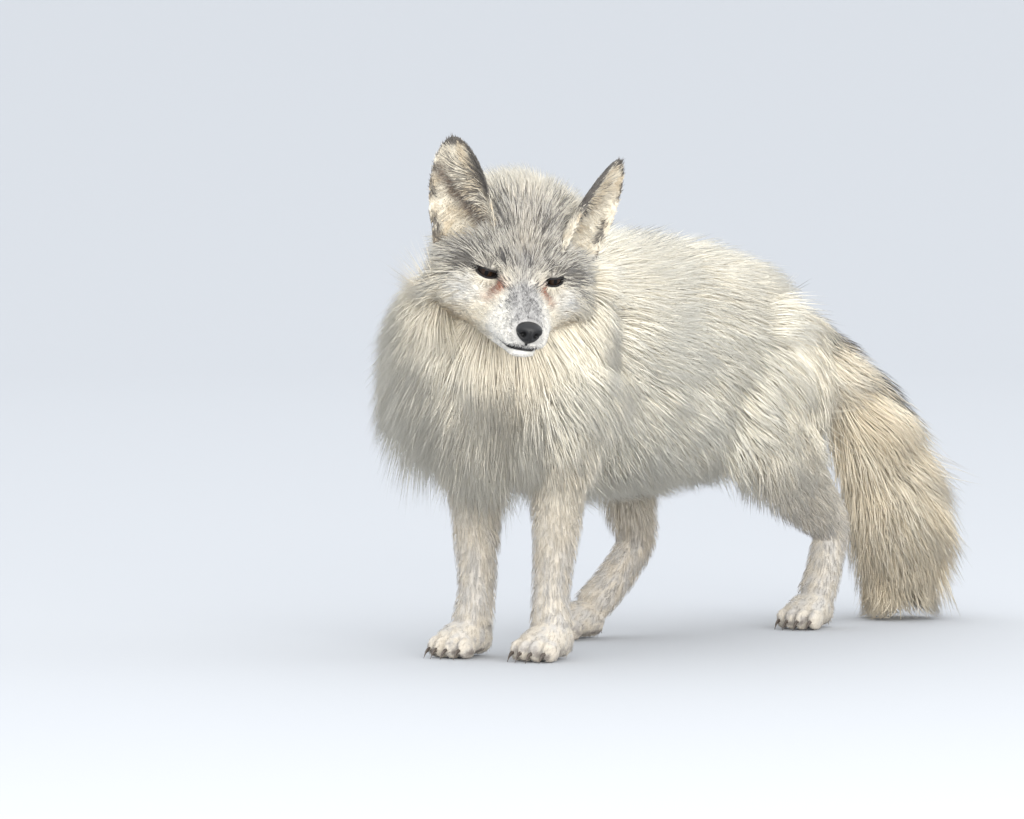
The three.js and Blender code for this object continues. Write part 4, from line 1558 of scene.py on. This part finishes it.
studio = {
    "azimuth": 35,  # degrees round from straight ahead, towards its left
    "elevation": 2.5,
    "distance": 5.0,  # m
    "lens": 195,  # mm
    "sensor": 36,
    "aim": (8.506, -10.028, 225.596),  # mm
    "floorTone": (0.405, 0.415, 0.43),
    "flat": 6.5,  # radius of the flat floor, m
    "wide": 11.0,
    "rise": 2.2,
    "spokes": 96,
    "sky": ((0.93, 0.96, 1.0, 1), 1.88),  # colour and strength
    "middle": (0, 0, 0.25),  # where the lights point, m
    "lights": {  # place in m, width in m, power in W, colour
        "key": ((0.6, -2.2, 3.2), 2.2, 12, (1.0, 0.97, 0.92)),
        "fill": ((2.6, 1.2, 2.2), 2.0, 10, (0.95, 0.97, 1.0)),
        "front": ((3.0, -2.4, 0.45), 3.0, 165, (1.0, 0.98, 0.95)),
        "low": ((1.6, -3.3, 0.3), 2.2, 52, (1.0, 0.985, 0.96)),
    },
}


def makeFloor():
    # flat out to a radius, then rising as the square of a smooth step, so no horizon shows
    r = np.concatenate([[0.02, 1, 3], np.linspace(studio["flat"], studio["wide"], 30)])[:, None]
    angle = np.linspace(0, 2 * np.pi, studio["spokes"], endpoint=False)[None]
    z = studio["rise"] * np.clip((r - studio["flat"]) / (studio["wide"] - studio["flat"]), 0, 1) ** 2
    grid = np.stack([r * np.cos(angle), r * np.sin(angle), z + 0 * angle], -1)
    count = studio["spokes"]
    k, row = np.arange(count), np.arange(len(r) - 1)[:, None] * count
    a, b = (row + k).ravel(), (row + (k + 1) % count).ravel()
    faces = np.stack([a, a + count, b + count, b], 1).tolist() + [k.tolist()]
    mesh = bpy.data.meshes.new("floor")
    mesh.from_pydata(grid.reshape(-1, 3).tolist(), [], faces)
    smoothShade(mesh)
    mesh.materials.append(Finish("floor_pale", 0.9, Base_Color=(*studio["floorTone"], 1)).material)
    floor = added("floor", mesh)


def placed(thing, right, toward, at):
    # stands at a place with its back to the direction toward
    pose = np.eye(4)
    pose[:3, :3] = np.stack([right, np.cross(toward, right), toward], 1)
    pose[:3, 3] = at
    thing.matrix_world = Matrix(pose.tolist())
    return thing


def areaLight(name, place, size, power, tone):
    # a round lamp that points at the middle of the studio
    light = bpy.data.lights.new(name, "AREA")
    light.shape, light.size, light.energy, light.color = "DISK", size, power, tone
    toward = unit(np.array(place, float) - studio["middle"])
    placed(added(name, light), unit(np.cross((0, 0, 1), toward)), toward, place)


def setStage():
    # floor, sky, lights and camera
    makeFloor()
    world = bpy.data.worlds.new("soft_sky")
    world.use_nodes = True
    sky = world.node_tree.nodes["Background"].inputs
    sky["Color"].default_value, sky["Strength"].default_value = studio["sky"]
    bpy.context.scene.view_settings.view_transform = "Standard"
    bpy.context.scene.world = world
    for name, light in studio["lights"].items():
        areaLight(name, *light)
    # the camera looks along a line that is given by its angle round and its angle up
    a, e = np.radians(studio["azimuth"]), np.radians(studio["elevation"])
    toward = np.array([np.sin(a) * np.cos(e), -np.cos(a) * np.cos(e), np.sin(e)])
    camera = bpy.data.cameras.new("camera")
    camera.lens, camera.sensor_width, camera.clip_end = studio["lens"], studio["sensor"], 100
    at = onModel(studio["aim"]) + toward * studio["distance"]
    bpy.context.scene.camera = placed(added("camera", camera), (np.cos(a), np.sin(a), 0), toward, at)
    print("stage set")


setStage()
skin = makeSkin()
coats = makeCoat(skin)
flesh = [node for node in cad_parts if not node.startswith("eye") and node != "nose"]
dress(skin, skinMaterial(), "coat_cream", *flesh)
furs = {name: hairMaterial("fur_" + name, 0.62, 0.15) for name in ("cream", "tan", "grey")}
for piece in coats:
    kind = "tan" if "tail" in piece.name else "grey" if "ears" in piece.name else "cream"
    dress(piece, furs[kind], "coat_" + kind)
wet = eyeMaterial()
for side, left in (("left", 1), ("right", -1)):
    dress(makeEye("eyeball_" + side, left), wet, "eye", "eye_" + side)
lids, places = makeLids()
paint(lids, np.tile(tones["skinDark"], (len(places), 1)))
dress(lids, skinMaterial(), "nose_leather")
dress(makeNose(), noseMaterial(), "nose_leather", "nose")
dress(makeClaws(), clawMaterial(), "nose_leather")
print("dressed")
